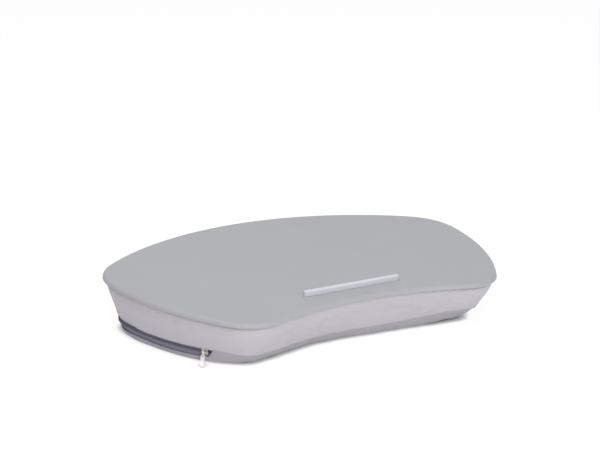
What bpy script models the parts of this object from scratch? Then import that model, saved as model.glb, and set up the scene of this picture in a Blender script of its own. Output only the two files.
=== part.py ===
"""Cushioned lap desk: a moulded kidney-shaped board on a wedge cushion with a zipped, removable cover.

X runs along the width, Y to the rear, Z up, and the desk stands on Z = 0 under the middle of its outline.
The outline is a chain of tangent arcs. A station is a point on it with its outward normal, and every other
plan curve is the same chain moved inward along those normals.
"""

import bpy
import bmesh
from math import asin, atan2, ceil, cos, degrees, pi, radians, sin, sqrt, tan
from mathutils import Matrix, Vector

MM = 0.001

# Outline of the board: right half, clockwise from the middle of the rear edge
REAR_RADIUS = 385.0 * MM
REAR_TURN = 36.55
CORNER_RADIUS = 78.9 * MM
CORNER_TURN = 56.5
SIDE_RADIUS = 355.9 * MM
SIDE_TURN = 32.05
LOBE_RADIUS = 52.8 * MM
LOBE_TURN = 73.65

# Heights
TILT = 3.1
TOP_HEIGHT = 68.6 * MM
GAP = 0.3 * MM

# Board
SKIN = 2.2 * MM
RIM_HEIGHT = 5.5 * MM
EDGE_RADIUS = 2.5 * MM
RIB_WIDTH = 1.8 * MM
RIB_PITCH = 38.0 * MM
RIB_COUNT = 8
RIB_SHIFT = -2.0 * MM

# Stop bar that keeps a computer from sliding off the front
BAR_LENGTH = 139.5 * MM
BAR_DEPTH = 6.3 * MM
BAR_HEIGHT = 6.8 * MM
BAR_ROUND = 2.4 * MM
BAR_TOP_ROUND = 1.44 * MM
BAR_SETBACK = 31.8 * MM
GROOVE_DEPTH = 0.8 * MM
PEG_RADIUS = 2.0 * MM
PEG_SPACING = 55.0 * MM
PEG_CLEARANCE = 0.3 * MM

# Hook and loop strips between the board and the cushion
STRIP_LENGTH = 300.0 * MM
STRIP_WIDTH = 25.0 * MM
HOOK_THICKNESS = 1.0 * MM
LOOP_THICKNESS = 1.0 * MM
STRIP_FRONT_RIB = 2
STRIP_REAR_RIB = 5

# Cushion cover
FABRIC = 1.2 * MM
TOP_INSET = 3.0 * MM
SHOULDER_INSET = 20.6 * MM
SHOULDER_HEIGHT = 22.0 * MM
SEAM_INSET = 27.0 * MM
SEAM_HEIGHT = 11.0 * MM
BULGE = 2.0 * MM
LIP = 2.0 * MM
ROLL_UNDER = 9.0 * MM
LEAN = 5.0 * MM

# Zip
ZIP_LENGTH = 305.0 * MM
ZIP_HEIGHT = 12.0 * MM
ZIP_INSET = 25.5 * MM
SLIDER_HEADING = 118.2
SLOT_ABOVE = 5.0 * MM
SLOT_BELOW = 5.8 * MM
SLOT_FRONT_TAPER = 9.0 * MM
SLOT_REAR_TAPER = 12.0 * MM
TAPE_THICKNESS = 0.6 * MM
TAPE_GAP_HALF = 1.5 * MM
TAPE_TUCK = 3.0 * MM
TOOTH_PITCH = 2.4 * MM
TOOTH_BASE = 1.0 * MM
TOOTH_TIP = 0.7 * MM
TOOTH_REACH = 1.0 * MM
SPINE_INNER = 1.3 * MM
SPINE_OUTER = 2.7 * MM
TOOTH_DEPTH = 1.2 * MM
STOP_LENGTH = 3.0 * MM
STOP_PLATE = 0.6 * MM

# Slider and puller
SLIDER_LENGTH = 9.0 * MM
SLIDER_MOUTH_HALF = 4.0 * MM
SLIDER_TAIL_HALF = 3.6 * MM
SLIDER_CHAMFER = 1.0 * MM
WING = 1.1 * MM
FLANGE = 0.85 * MM
RUN_CLEARANCE = 0.35 * MM
POST_LENGTH = 2.4 * MM
POST_HALF = 1.1 * MM
BAIL_WIRE = 0.6 * MM
BAIL_REACH = 3.0 * MM
BAIL_HALF = 2.8 * MM
BAIL_BEND = 0.93 * MM
EYE_RADIUS = 1.85 * MM
EYE_WIRE = 0.6 * MM
PULL_LENGTH = 24.0 * MM
PULL_WIDTH = 5.4 * MM
PULL_THICKNESS = 1.3 * MM
NECK_WIDTH = 2.8 * MM
NECK_LENGTH = 4.05 * MM
PULL_HOLE_RADIUS = 0.9 * MM
DIMPLE_RADIUS = 1.2 * MM
DIMPLE_DEPTH = 0.35 * MM
PULL_SLEW = 30.0

# Depths under the board's top plane, square to it
RIB_BOTTOM = SKIN + GAP + HOOK_THICKNESS + GAP + LOOP_THICKNESS
COVER_TOP = RIB_BOTTOM + GAP
FOAM_TOP = COVER_TOP + FABRIC + GAP

# Room that the cover's sloping side takes, measured level
SLOPED_FABRIC = 1.5 * FABRIC

# Depths into the desk from the outer face of the zip's teeth
TAPE_FACE = TOOTH_DEPTH + GAP
TAPE_BACK = TAPE_FACE + TAPE_THICKNESS
WING_FACE = TAPE_BACK + RUN_CLEARANCE
WING_BACK = WING_FACE + WING

# Facets
ARC_STEPS = 8
WAIST_STEPS = 4
UPPER_STEPS = 3
CHORD_ERROR = 0.06 * MM
EDGE_STEPS = 3

COLOURS = {
    "board": ((0.46, 0.47, 0.49), 0.45, 0.0),
    "bar": ((0.58, 0.60, 0.65), 0.4, 0.0),
    "cover": ((0.52, 0.49, 0.53), 0.9, 0.0),
    "base": ((0.40, 0.37, 0.42), 0.9, 0.0),
    "foam": ((0.75, 0.74, 0.70), 0.95, 0.0),
    "hook": ((0.30, 0.30, 0.33), 0.8, 0.0),
    "loop": ((0.42, 0.41, 0.45), 0.95, 0.0),
    "tape": ((0.11, 0.11, 0.17), 0.85, 0.0),
    "teeth": ((0.16, 0.16, 0.23), 0.5, 0.0),
    "nickel": ((0.70, 0.66, 0.60), 0.3, 1.0),
}


# Scene helpers

def clear_scene():
    for item in list(bpy.data.objects):
        bpy.data.objects.remove(item, do_unlink=True)


def collection(name):
    group = bpy.data.collections.new(name)
    bpy.context.scene.collection.children.link(group)
    return group


def material(name):
    found = bpy.data.materials.get(name)
    if found:
        return found
    colour, roughness, metallic = COLOURS[name]
    new = bpy.data.materials.new(name)
    new.use_nodes = True
    shader = new.node_tree.nodes["Principled BSDF"]
    shader.inputs["Base Color"].default_value = (*colour, 1.0)
    shader.inputs["Roughness"].default_value = roughness
    shader.inputs["Metallic"].default_value = metallic
    return new


def add_object(name, mesh, group, finish=None):
    item = bpy.data.objects.new(name, mesh)
    group.objects.link(item)
    if finish:
        item.data.materials.append(material(finish))
    return item


def mesh_from(name, build):
    """Mesh whose geometry the function build makes in a bmesh, with its faces turned outward."""
    work = bmesh.new()
    build(work)
    bmesh.ops.recalc_face_normals(work, faces=work.faces)
    mesh = bpy.data.meshes.new(name)
    work.to_mesh(mesh)
    work.free()
    return mesh


def box_mesh(name, low, high):
    def build(work):
        size = [b - a for a, b in zip(low, high)]
        middle = [(a + b) / 2 for a, b in zip(low, high)]
        place = Matrix.Translation(middle) @ Matrix.Diagonal((*size, 1.0))
        bmesh.ops.create_cube(work, size=1.0, matrix=place)

    return mesh_from(name, build)


def outline_mesh(name, points, thickness):
    """Flat outline in the XY plane, thickened equally to both sides."""
    curve = bpy.data.curves.new(name, "CURVE")
    curve.dimensions = "2D"
    curve.fill_mode = "BOTH"
    curve.extrude = thickness / 2
    spline = curve.splines.new("POLY")
    spline.points.add(len(points) - 1)
    for point, (x, y) in zip(spline.points, points):
        point.co = (x, y, 0.0, 1.0)
    spline.use_cyclic_u = True
    return mesh_of_curve(name, curve)


def wire_mesh(name, points, radius):
    """Round wire with closed ends along a list of points."""
    curve = bpy.data.curves.new(name, "CURVE")
    curve.dimensions = "3D"
    curve.bevel_depth = radius
    curve.bevel_resolution = 2
    curve.use_fill_caps = True
    spline = curve.splines.new("POLY")
    spline.points.add(len(points) - 1)
    for point, place in zip(spline.points, points):
        point.co = (*place, 1.0)
    return mesh_of_curve(name, curve)


def mesh_of_curve(name, curve):
    item = bpy.data.objects.new(name + "_curve", curve)
    bpy.context.scene.collection.objects.link(item)
    bpy.context.view_layer.update()
    evaluated = item.evaluated_get(bpy.context.evaluated_depsgraph_get())
    mesh = bpy.data.meshes.new_from_object(evaluated)
    mesh.name = name
    work = bmesh.new()
    work.from_mesh(mesh)
    bmesh.ops.remove_doubles(work, verts=work.verts, dist=0.001 * MM)
    bmesh.ops.recalc_face_normals(work, faces=work.faces)
    work.to_mesh(mesh)
    work.free()
    bpy.data.objects.remove(item, do_unlink=True)
    return mesh


def combine(target, other, operation, cutters):
    """Boolean of target with another mesh, which is kept as a hidden guide."""
    guide = add_object(f"{target.name}_{operation.lower()}_{len(cutters.objects)}", other, cutters)
    guide.matrix_world = target.matrix_world
    guide.hide_render = True
    guide.display_type = "WIRE"
    change = target.modifiers.new(guide.name, "BOOLEAN")
    change.operation = operation
    change.object = guide
    return guide


def loft(work, rings, close_first=False, close_last=False):
    """Surface through rings or closed sections with the same count of points, with flat ends where asked."""
    rows = [[work.verts.new(point) for point in ring] for ring in rings]
    for lower, upper in zip(rows, rows[1:]):
        for i in range(len(lower)):
            j = (i + 1) % len(lower)
            work.faces.new((lower[i], lower[j], upper[j], upper[i]))
    if close_first:
        work.faces.new(rows[0])
    if close_last:
        work.faces.new(rows[-1])


# Outline

class Arc:
    """One convex arc of the right half: its centre, radius and first and last heading."""

    def __init__(self, centre, radius, first, last):
        self.centre = centre
        self.radius = radius
        self.first = first
        self.last = last


def normal_at(heading):
    return Vector((sin(radians(heading)), cos(radians(heading))))


def convex_arcs():
    """Rear, corner, side and lobe arcs, each starting where the one before ends, centred front to rear."""
    place = Vector((0.0, 0.0))
    heading = 0.0
    arcs = {}
    turns = (("rear", REAR_RADIUS, REAR_TURN), ("corner", CORNER_RADIUS, CORNER_TURN),
             ("side", SIDE_RADIUS, SIDE_TURN), ("lobe", LOBE_RADIUS, LOBE_TURN))
    for name, radius, turn in turns:
        centre = place - radius * normal_at(heading)
        arcs[name] = Arc(centre, radius, heading, heading + turn)
        heading += turn
        place = centre + radius * normal_at(heading)
    front = arcs["lobe"].centre.y - LOBE_RADIUS
    shift = Vector((0.0, -front / 2))
    for arc in arcs.values():
        arc.centre = arc.centre + shift
    return arcs


ARCS = convex_arcs()


def waist_arc():
    """Centre and radius of the hollow arc that joins the two lobes."""
    lobe = ARCS["lobe"]
    normal = normal_at(lobe.last)
    start = lobe.centre + lobe.radius * normal
    radius = start.x / sin(radians(lobe.last - 180.0))
    return start + radius * normal, radius


def arc_headings(arc):
    return [arc.first + (arc.last - arc.first) * i / ARC_STEPS for i in range(ARC_STEPS)]


def right_half():
    """Stations of the right half, from the middle of the rear to the middle of the waist."""
    stations = []
    for arc in ARCS.values():
        for heading in arc_headings(arc):
            normal = normal_at(heading)
            stations.append((arc.centre + arc.radius * normal, normal))
    centre, radius = waist_arc()
    last = ARCS["lobe"].last
    for i in range(WAIST_STEPS + 1):
        normal = normal_at(last - (last - 180.0) * i / WAIST_STEPS)
        stations.append((centre - radius * normal, normal))
    return stations


def mirrored(station):
    point, normal = station
    return (Vector((-point.x, point.y)), Vector((-normal.x, normal.y)))


def left_station(heading):
    """Station on the left side, at a heading counted like the right side's."""
    for arc in ARCS.values():
        if heading <= arc.last:
            break
    normal = normal_at(heading)
    return mirrored((arc.centre + arc.radius * normal, normal))


def full_outline():
    right = right_half()
    left = [mirrored(station) for station in right[-2:0:-1]]
    return right + left


def moved_in(station, inset):
    point, normal = station
    return point - inset * normal


# Heights and the cushion's section

def plane_height(y, depth):
    """Height of the plane that lies this depth under the board's top."""
    return TOP_HEIGHT + y * tan(radians(TILT)) - depth / cos(radians(TILT))


def cushion_point(station, inset, height):
    """Point on the cushion. Its lower part leans to the left, and the lean ends at the board."""
    place = moved_in(station, inset)
    top = plane_height(place.y, COVER_TOP)
    lean = LEAN * min(1.0, (top - height) / (top - SHOULDER_HEIGHT))
    return Vector((place.x - lean, place.y, height))


def boxing_inset(height):
    """Inset of the boxing's outer face between the seam and the shoulder."""
    slope = (SEAM_INSET - SHOULDER_INSET) / (SHOULDER_HEIGHT - SEAM_HEIGHT)
    return SEAM_INSET - slope * (height - SEAM_HEIGHT)


def roll_inset(height):
    """Inset of the bottom panel's outer face where it rolls under from the seam."""
    angle = asin(1.0 - height / SEAM_HEIGHT)
    return SEAM_INSET + ROLL_UNDER * (1.0 - cos(angle))


def upper_point(station, share, depth):
    """Point on the boxing this share of the way from the shoulder up to a depth, with a soft bulge."""
    top = plane_height(moved_in(station, TOP_INSET).y, depth)
    inset = SHOULDER_INSET + share * (TOP_INSET - SHOULDER_INSET) - BULGE * sin(pi * share)
    return cushion_point(station, inset, SHOULDER_HEIGHT + share * (top - SHOULDER_HEIGHT))


# Zip path

def zip_front_heading():
    """Heading of the zip's front end, from the slider's place at rest."""
    side = ARCS["side"]
    ahead = SLIDER_LENGTH / 2 + GAP + STOP_LENGTH + GAP
    return SLIDER_HEADING + degrees(ahead / (side.radius - ZIP_INSET))


ZIP_FRONT = zip_front_heading()


def heading_at(travel):
    """Heading on the outline after this length along the zip, rearward from its front end."""
    heading = ZIP_FRONT
    for name in ("side", "corner", "rear"):
        arc = ARCS[name]
        radius = arc.radius - ZIP_INSET
        length = radians(heading - arc.first) * radius
        if travel <= length or name == "rear":
            return heading - degrees(travel / radius)
        travel -= length
        heading = arc.first


def zip_point(heading, depth, rise):
    """Point beside the zip's centre line, this deep under the teeth's outer face."""
    return cushion_point(left_station(heading), ZIP_INSET + depth, ZIP_HEIGHT + rise)


def fine_headings(first, last):
    """Headings from first down to last, close enough to keep each chord near its arc."""
    headings = [first]
    for name in ("side", "corner", "rear"):
        arc = ARCS[name]
        start = min(first, arc.last)
        end = max(last, arc.first)
        if start <= end:
            continue
        widest = degrees(sqrt(8 * CHORD_ERROR / (arc.radius - ZIP_INSET)))
        steps = ceil((start - end) / widest)
        headings += [start + (end - start) * i / steps for i in range(1, steps + 1)]
    return headings


def slot_tapers():
    """Turns over which the slot in the cover closes, past its front and its rear end."""
    front = degrees(SLOT_FRONT_TAPER / (ARCS["side"].radius - ZIP_INSET))
    rear = degrees(SLOT_REAR_TAPER / (ARCS["rear"].radius - ZIP_INSET))
    return front, rear


def slot_opening(heading):
    """How far the slot in the cover is open at a heading: 0 closed, 1 open."""
    front_width, rear_width = slot_tapers()
    from_front = (ZIP_FRONT + front_width - heading) / front_width
    from_rear = (heading - heading_at(ZIP_LENGTH) + rear_width) / rear_width
    share = max(0.0, min(1.0, from_front, from_rear))
    return share * share * (3.0 - 2.0 * share)


def cover_outline():
    """The full outline with more stations on the left, where the slot's ends are."""
    right = right_half()
    closed = [(station, 0.0) for station in right]
    waist = [(mirrored(station), 0.0) for station in right[-2:-WAIST_STEPS - 1:-1]]
    headings = [heading for arc in ARCS.values() for heading in arc_headings(arc)]
    front_width, rear_width = slot_tapers()
    rear_end = heading_at(ZIP_LENGTH)
    front_tip = ZIP_FRONT + front_width
    rear_tip = rear_end - rear_width
    slot = [front_tip - front_width * i / 4 for i in range(4)]
    slot += fine_headings(ZIP_FRONT, rear_end)
    slot += [rear_end - rear_width * i / 4 for i in range(1, 5)]
    before = [h for h in headings if h > front_tip + front_width / 4]
    before.append(ARCS["lobe"].last)
    after = [h for h in headings if 0.0 < h < rear_tip - rear_width / 4]
    left = sorted(before, reverse=True) + slot + sorted(after, reverse=True)
    return closed + waist + [(left_station(h), slot_opening(h)) for h in left]


# Pieces

def board_matrix():
    """Places the board, whose top plane is its own Z = 0, on the tilted cushion."""
    middle = -(RIM_HEIGHT + EDGE_RADIUS) / 2 * sin(radians(TILT))
    turn = Matrix.Rotation(radians(TILT), 4, "X")
    return Matrix.Translation((0.0, middle, TOP_HEIGHT)) @ turn


def rib_places():
    first = -(RIB_COUNT - 1) / 2 * RIB_PITCH + RIB_SHIFT
    return [first + i * RIB_PITCH for i in range(RIB_COUNT)]


def bar_place():
    """Distance of the bar's middle from the board's, set back from the middle of the waist."""
    centre, radius = waist_arc()
    return centre.y + radius + BAR_SETBACK + BAR_DEPTH / 2


def bar_block(low, high, margin):
    """Upright block with the bar's rounded outline, made larger all round by a margin."""
    place = bar_place()
    half_length = BAR_LENGTH / 2 + margin
    half_depth = BAR_DEPTH / 2 + margin
    mesh = box_mesh("bar_block", (-half_length, place - half_depth, low), (half_length, place + half_depth, high))
    work = bmesh.new()
    work.from_mesh(mesh)
    upright = [e for e in work.edges if abs(e.verts[0].co.z - e.verts[1].co.z) > (high - low) / 2]
    bmesh.ops.bevel(work, geom=upright, offset=BAR_ROUND + margin, segments=3, profile=0.5, affect="EDGES")
    work.to_mesh(mesh)
    work.free()
    return mesh


def make_board(group, cutters):
    outline = full_outline()

    def shell(work):
        rings = []
        for i in range(EDGE_STEPS + 1):
            angle = radians(90.0 * i / EDGE_STEPS)
            inset = EDGE_RADIUS * (1.0 - sin(angle))
            height = -EDGE_RADIUS * (1.0 - cos(angle))
            rings.append([(*moved_in(s, inset), height) for s in outline])
        rings.append([(*moved_in(s, 0.0), -RIM_HEIGHT) for s in outline])
        loft(work, rings, close_first=True)

    board = add_object("top_board", mesh_from("top_board", shell), group, "board")
    wall = board.modifiers.new("wall", "SOLIDIFY")
    wall.thickness = SKIN
    wall.offset = -1.0
    wall.use_even_offset = True
    board.matrix_world = board_matrix()

    inner = [tuple(moved_in(s, SKIN / 2)) for s in outline]
    trim = add_object("rib_trim", outline_mesh("rib_trim", inner, 4 * RIM_HEIGHT), cutters)
    trim.matrix_world = board.matrix_world
    trim.hide_render = True
    trim.display_type = "WIRE"
    for place in rib_places():
        low = (-SIDE_RADIUS, place - RIB_WIDTH / 2, -RIB_BOTTOM)
        high = (SIDE_RADIUS, place + RIB_WIDTH / 2, -SKIN / 2)
        rib = combine(board, box_mesh("rib", low, high), "UNION", cutters)
        fit = rib.modifiers.new("trim", "BOOLEAN")
        fit.operation = "INTERSECT"
        fit.object = trim

    combine(board, bar_block(-GROOVE_DEPTH, BAR_HEIGHT, GAP), "DIFFERENCE", cutters)
    for side in (-1, 0, 1):
        def hole(work, x=side * PEG_SPACING):
            place = Matrix.Translation((x, bar_place(), -SKIN / 2))
            radius = PEG_RADIUS + PEG_CLEARANCE
            bmesh.ops.create_cone(work, cap_ends=True, segments=16, radius1=radius, radius2=radius,
                                  depth=2 * SKIN, matrix=place)

        combine(board, mesh_from("peg_hole", hole), "DIFFERENCE", cutters)
    return board


def make_bar(group, cutters):
    mesh = bar_block(GAP - GROOVE_DEPTH, BAR_HEIGHT, 0.0)
    work = bmesh.new()
    work.from_mesh(mesh)
    rim = [e for e in work.edges if all(abs(v.co.z - BAR_HEIGHT) < GAP / 2 for v in e.verts)]
    bmesh.ops.bevel(work, geom=rim, offset=BAR_TOP_ROUND, segments=2, profile=0.5, affect="EDGES")
    work.to_mesh(mesh)
    work.free()
    bar = add_object("stop_bar", mesh, group, "bar")
    bar.matrix_world = board_matrix()
    for side in (-1, 0, 1):
        def peg(work, x=side * PEG_SPACING):
            low_end = -SKIN
            high_end = BAR_HEIGHT / 2
            place = Matrix.Translation((x, bar_place(), (low_end + high_end) / 2))
            bmesh.ops.create_cone(work, cap_ends=True, segments=16, radius1=PEG_RADIUS,
                                  radius2=PEG_RADIUS, depth=high_end - low_end, matrix=place)

        combine(bar, mesh_from("peg", peg), "UNION", cutters)


def make_strips(group):
    ribs = rib_places()
    places = {"front": STRIP_FRONT_RIB, "rear": STRIP_REAR_RIB}
    layers = {"hook": (SKIN + GAP, HOOK_THICKNESS), "loop": (SKIN + 2 * GAP + HOOK_THICKNESS, LOOP_THICKNESS)}
    for where, rib in places.items():
        middle = (ribs[rib] + ribs[rib + 1]) / 2
        for kind, (depth, thickness) in layers.items():
            name = f"{kind}_strip_{where}"
            low = (-STRIP_LENGTH / 2, middle - STRIP_WIDTH / 2, -depth - thickness)
            high = (STRIP_LENGTH / 2, middle + STRIP_WIDTH / 2, -depth)
            strip = add_object(name, box_mesh(name, low, high), group, kind)
            strip.matrix_world = board_matrix()


def make_top_panel(group):
    inset = TOP_INSET + SLOPED_FABRIC + GAP
    outline = full_outline()

    def build(work):
        rings = []
        for depth in (COVER_TOP, COVER_TOP + FABRIC):
            ring = [moved_in(station, inset) for station in outline]
            rings.append([(p.x, p.y, plane_height(p.y, depth)) for p in ring])
        loft(work, rings, close_first=True, close_last=True)

    add_object("cover_top_panel", mesh_from("cover_top_panel", build), group, "cover")


def add_fabric(item):
    cloth = item.modifiers.new("fabric", "SOLIDIFY")
    cloth.thickness = FABRIC
    cloth.offset = -1.0
    cloth.use_even_offset = True


def make_boxing(group):
    stations = cover_outline()
    seam_gap = GAP / 2

    def build(work):
        rings = []
        for share in (0.0, 0.5, 1.0):
            ring = []
            for station, opening in stations:
                closed = SEAM_HEIGHT + seam_gap
                low = closed + opening * (ZIP_HEIGHT + SLOT_ABOVE - closed)
                height = low + share * (SHOULDER_HEIGHT - low)
                ring.append(cushion_point(station, boxing_inset(height), height))
            rings.append(ring)
        for i in range(1, UPPER_STEPS + 1):
            rings.append([upper_point(s, i / UPPER_STEPS, COVER_TOP + LIP) for s, _ in stations])
        lip = [moved_in(s, TOP_INSET) for s, _ in stations]
        rings.append([(p.x, p.y, plane_height(p.y, COVER_TOP)) for p in lip])
        loft(work, rings)

    item = add_object("cover_boxing", mesh_from("cover_boxing", build), group, "cover")
    turn_outward(item)
    add_fabric(item)


def turn_outward(item):
    """Turns an open surface's faces away from the Z axis through the desk's middle."""
    mesh = item.data
    face = max(mesh.polygons, key=lambda polygon: polygon.center.y)
    if face.normal.y < 0:
        mesh.flip_normals()


def make_bottom_panel(group):
    stations = cover_outline()
    seam_gap = GAP / 2

    def build(work):
        rings = []
        for share in (0.0, 0.25, 0.5, 0.75, 1.0):
            ring = []
            for station, opening in stations:
                closed = SEAM_HEIGHT - seam_gap
                high = closed - opening * (closed - ZIP_HEIGHT + SLOT_BELOW)
                start = asin(1.0 - high / SEAM_HEIGHT)
                angle = start + share * (pi / 2 - start)
                height = SEAM_HEIGHT * (1.0 - sin(angle))
                ring.append(cushion_point(station, SEAM_INSET + ROLL_UNDER * (1.0 - cos(angle)), height))
            rings.append(ring)
        loft(work, rings, close_last=True)

    item = add_object("cover_bottom_panel", mesh_from("cover_bottom_panel", build), group, "base")
    turn_outward(item)
    add_fabric(item)


def foam_section():
    """Insets and heights of the foam's side, clear of the cover, the tapes and the slider's back."""
    behind = SLOPED_FABRIC + GAP + TAPE_THICKNESS + GAP
    back = ZIP_INSET + WING_BACK + RUN_CLEARANCE
    mouth = SLIDER_MOUTH_HALF + RUN_CLEARANCE
    hem = ZIP_HEIGHT - SLOT_BELOW - TAPE_TUCK
    knee = ZIP_HEIGHT - SLOT_BELOW + FABRIC / 2
    return ((SEAM_INSET + ROLL_UNDER, FABRIC + GAP), (roll_inset(hem) + behind, hem),
            (roll_inset(knee) + behind, knee), (back, ZIP_HEIGHT - mouth), (back, ZIP_HEIGHT + mouth),
            (SHOULDER_INSET + behind, SHOULDER_HEIGHT))


def make_foam(group):
    outline = full_outline()
    inner = SLOPED_FABRIC + 2 * GAP

    def build(work):
        rings = []
        for inset, height in foam_section():
            rings.append([cushion_point(station, inset, height) for station in outline])
        foot = rings[-1]
        edge = [moved_in(station, TOP_INSET + inner) for station in outline]
        top = [Vector((p.x, p.y, plane_height(p.y, FOAM_TOP))) for p in edge]
        rings.append([low.lerp(high, 0.5) for low, high in zip(foot, top)])
        rings.append(top)
        loft(work, rings, close_first=True, close_last=True)

    add_object("foam_core", mesh_from("foam_core", build), group, "foam")


def make_tapes(group):
    headings = fine_headings(ZIP_FRONT, heading_at(ZIP_LENGTH))
    sides = (("zip_tape_upper", 1, SLOT_ABOVE, boxing_inset), ("zip_tape_lower", -1, SLOT_BELOW, roll_inset))
    for name, side, slot, cover_inset in sides:
        def build(work, side=side, slot=slot, cover_inset=cover_inset):
            sections = []
            for heading in headings:
                face = []
                for reach in (slot + TAPE_TUCK, slot - FABRIC / 2):
                    depth = cover_inset(ZIP_HEIGHT + side * reach) + SLOPED_FABRIC + GAP - ZIP_INSET
                    face.append((side * reach, depth))
                face.append((side * SLIDER_MOUTH_HALF, TAPE_FACE))
                face.append((side * TAPE_GAP_HALF, TAPE_FACE))
                back = [(rise, depth + TAPE_THICKNESS) for rise, depth in face[::-1]]
                sections.append([zip_point(heading, depth, rise) for rise, depth in face + back])
            loft(work, sections, close_first=True, close_last=True)

        add_object(name, mesh_from(name, build), group, "tape")


def make_teeth(group):
    """Two combs whose teeth interlock across the centre line, ending just behind the slider's post."""
    start = GAP + STOP_LENGTH + GAP + POST_LENGTH + GAP + TOOTH_BASE / 2
    end = ZIP_LENGTH - GAP - STOP_LENGTH - TOOTH_PITCH
    count = int((end - start) / TOOTH_PITCH)
    for name, side, offset in (("zip_coil_upper", 1, 0.0), ("zip_coil_lower", -1, 0.5)):
        def build(work, side=side, offset=offset):
            layers = []
            for depth in (0.0, TOOTH_DEPTH):
                corners = []
                for i in range(count):
                    middle = start + (i + offset) * TOOTH_PITCH
                    shape = ((-TOOTH_BASE / 2, SPINE_OUTER), (-TOOTH_BASE / 2, SPINE_INNER),
                             (-TOOTH_TIP / 2, -TOOTH_REACH), (TOOTH_TIP / 2, -TOOTH_REACH),
                             (TOOTH_BASE / 2, SPINE_INNER))
                    places = [(heading_at(middle + along), side * rise) for along, rise in shape]
                    corners.append([work.verts.new(zip_point(h, depth, rise)) for h, rise in places])
                middle = start + (count - 1 + offset) * TOOTH_PITCH + TOOTH_BASE / 2
                end_corner = work.verts.new(zip_point(heading_at(middle), depth, side * SPINE_OUTER))
                layers.append((corners, end_corner))
            for corners, end_corner in layers:
                for i, tooth in enumerate(corners):
                    work.faces.new(tooth[1:5])
                    if i + 1 < count:
                        after = corners[i + 1]
                        work.faces.new((tooth[0], tooth[1], tooth[4], after[1], after[0]))
                    else:
                        work.faces.new((tooth[0], tooth[1], tooth[4], end_corner))
            border = [rim_of(layer, count) for layer in layers]
            for i in range(len(border[0])):
                j = (i + 1) % len(border[0])
                work.faces.new((border[0][i], border[0][j], border[1][j], border[1][i]))

        add_object(name, mesh_from(name, build), group, "teeth")


def rim_of(layer, count):
    """Corners round one face of a comb, out along the teeth and back along the spine."""
    corners, end_corner = layer
    out = [corner for tooth in corners for corner in tooth[1:5]]
    return out + [end_corner] + [corners[i][0] for i in range(count - 1, -1, -1)]


def make_stops(group):
    """Top stops clamped on each tape before the slider, and one bottom stop across both tapes."""
    wrap = TAPE_GAP_HALF - GAP
    reach = SPINE_OUTER
    inner = TAPE_BACK + GAP
    outer = TAPE_FACE - GAP - STOP_PLATE
    clip = ((wrap - STOP_PLATE, outer), (reach, outer), (reach, TAPE_FACE - GAP), (wrap, TAPE_FACE - GAP),
            (wrap, inner), (reach, inner), (reach, inner + STOP_PLATE), (wrap - STOP_PLATE, inner + STOP_PLATE))
    both = ((-reach, outer), (reach, outer), (reach, TAPE_FACE - GAP), (wrap, TAPE_FACE - GAP),
            (wrap, inner), (reach, inner), (reach, inner + STOP_PLATE), (-reach, inner + STOP_PLATE),
            (-reach, inner), (-wrap, inner), (-wrap, TAPE_FACE - GAP), (-reach, TAPE_FACE - GAP))
    places = (("zip_top_stop_upper", clip, 1, GAP), ("zip_top_stop_lower", clip, -1, GAP),
              ("zip_bottom_stop", both, 1, ZIP_LENGTH - GAP - STOP_LENGTH))
    for name, shape, side, start in places:
        def build(work, shape=shape, side=side, start=start):
            sections = []
            for heading in (heading_at(start), heading_at(start + STOP_LENGTH)):
                sections.append([zip_point(heading, depth, side * rise) for rise, depth in shape])
            loft(work, sections, close_first=True, close_last=True)

        add_object(name, mesh_from(name, build), group, "nickel")


def slider_matrix():
    """Slider frame: X forward along the zip, Y into the desk, Z up, on the teeth's outer face."""
    station = left_station(SLIDER_HEADING)
    place = cushion_point(station, ZIP_INSET, ZIP_HEIGHT)
    normal = station[1]
    return Matrix.Translation(place) @ Matrix.Rotation(atan2(-normal.y, -normal.x) - pi / 2, 4, "Z")


def make_slider(group, cutters):
    half = SLIDER_LENGTH / 2
    mouth = SLIDER_MOUTH_HALF
    tail = SLIDER_TAIL_HALF
    corner = SLIDER_CHAMFER
    shield = ((-half, -tail), (half - tail, -tail), (half - corner, -mouth), (half, -mouth + corner),
              (half, mouth - corner), (half - corner, mouth), (half - tail, tail), (-half, tail))
    upright = Matrix.Rotation(radians(90.0), 4, "X")

    def plate(name, face, back):
        mesh = outline_mesh(name, shield, back - face)
        mesh.transform(Matrix.Translation((0.0, (face + back) / 2, 0.0)) @ upright)
        return mesh

    front = -RUN_CLEARANCE
    slider = add_object("zip_slider", plate("zip_slider", front - WING, front), group, "nickel")
    slider.matrix_world = slider_matrix()
    combine(slider, plate("inner_wing", WING_FACE, WING_BACK), "UNION", cutters)
    for side in (-1, 1):
        edges = sorted((side * (tail - FLANGE), side * tail))
        low = (-half, front - WING / 2, edges[0])
        high = (half - tail, TAPE_FACE - RUN_CLEARANCE, edges[1])
        combine(slider, box_mesh("flange", low, high), "UNION", cutters)
    diamond = ((half - POST_LENGTH, 0.0), (half - POST_LENGTH / 2, -POST_HALF), (half - GAP, 0.0),
               (half - POST_LENGTH / 2, POST_HALF))
    post = outline_mesh("post", diamond, WING_BACK + WING)
    post.transform(Matrix.Translation((0.0, WING_BACK / 2 - RUN_CLEARANCE, 0.0)) @ upright)
    combine(slider, post, "UNION", cutters)
    root = front - WING / 2
    rod = front - WING - BAIL_REACH
    bend = BAIL_BEND
    arch = ((-BAIL_HALF, root, 0.0), (-BAIL_HALF, rod + bend, 0.0), (-BAIL_HALF + bend, rod, 0.0),
            (BAIL_HALF - bend, rod, 0.0), (BAIL_HALF, rod + bend, 0.0), (BAIL_HALF, root, 0.0))
    combine(slider, wire_mesh("bail", arch, BAIL_WIRE), "UNION", cutters)


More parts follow.
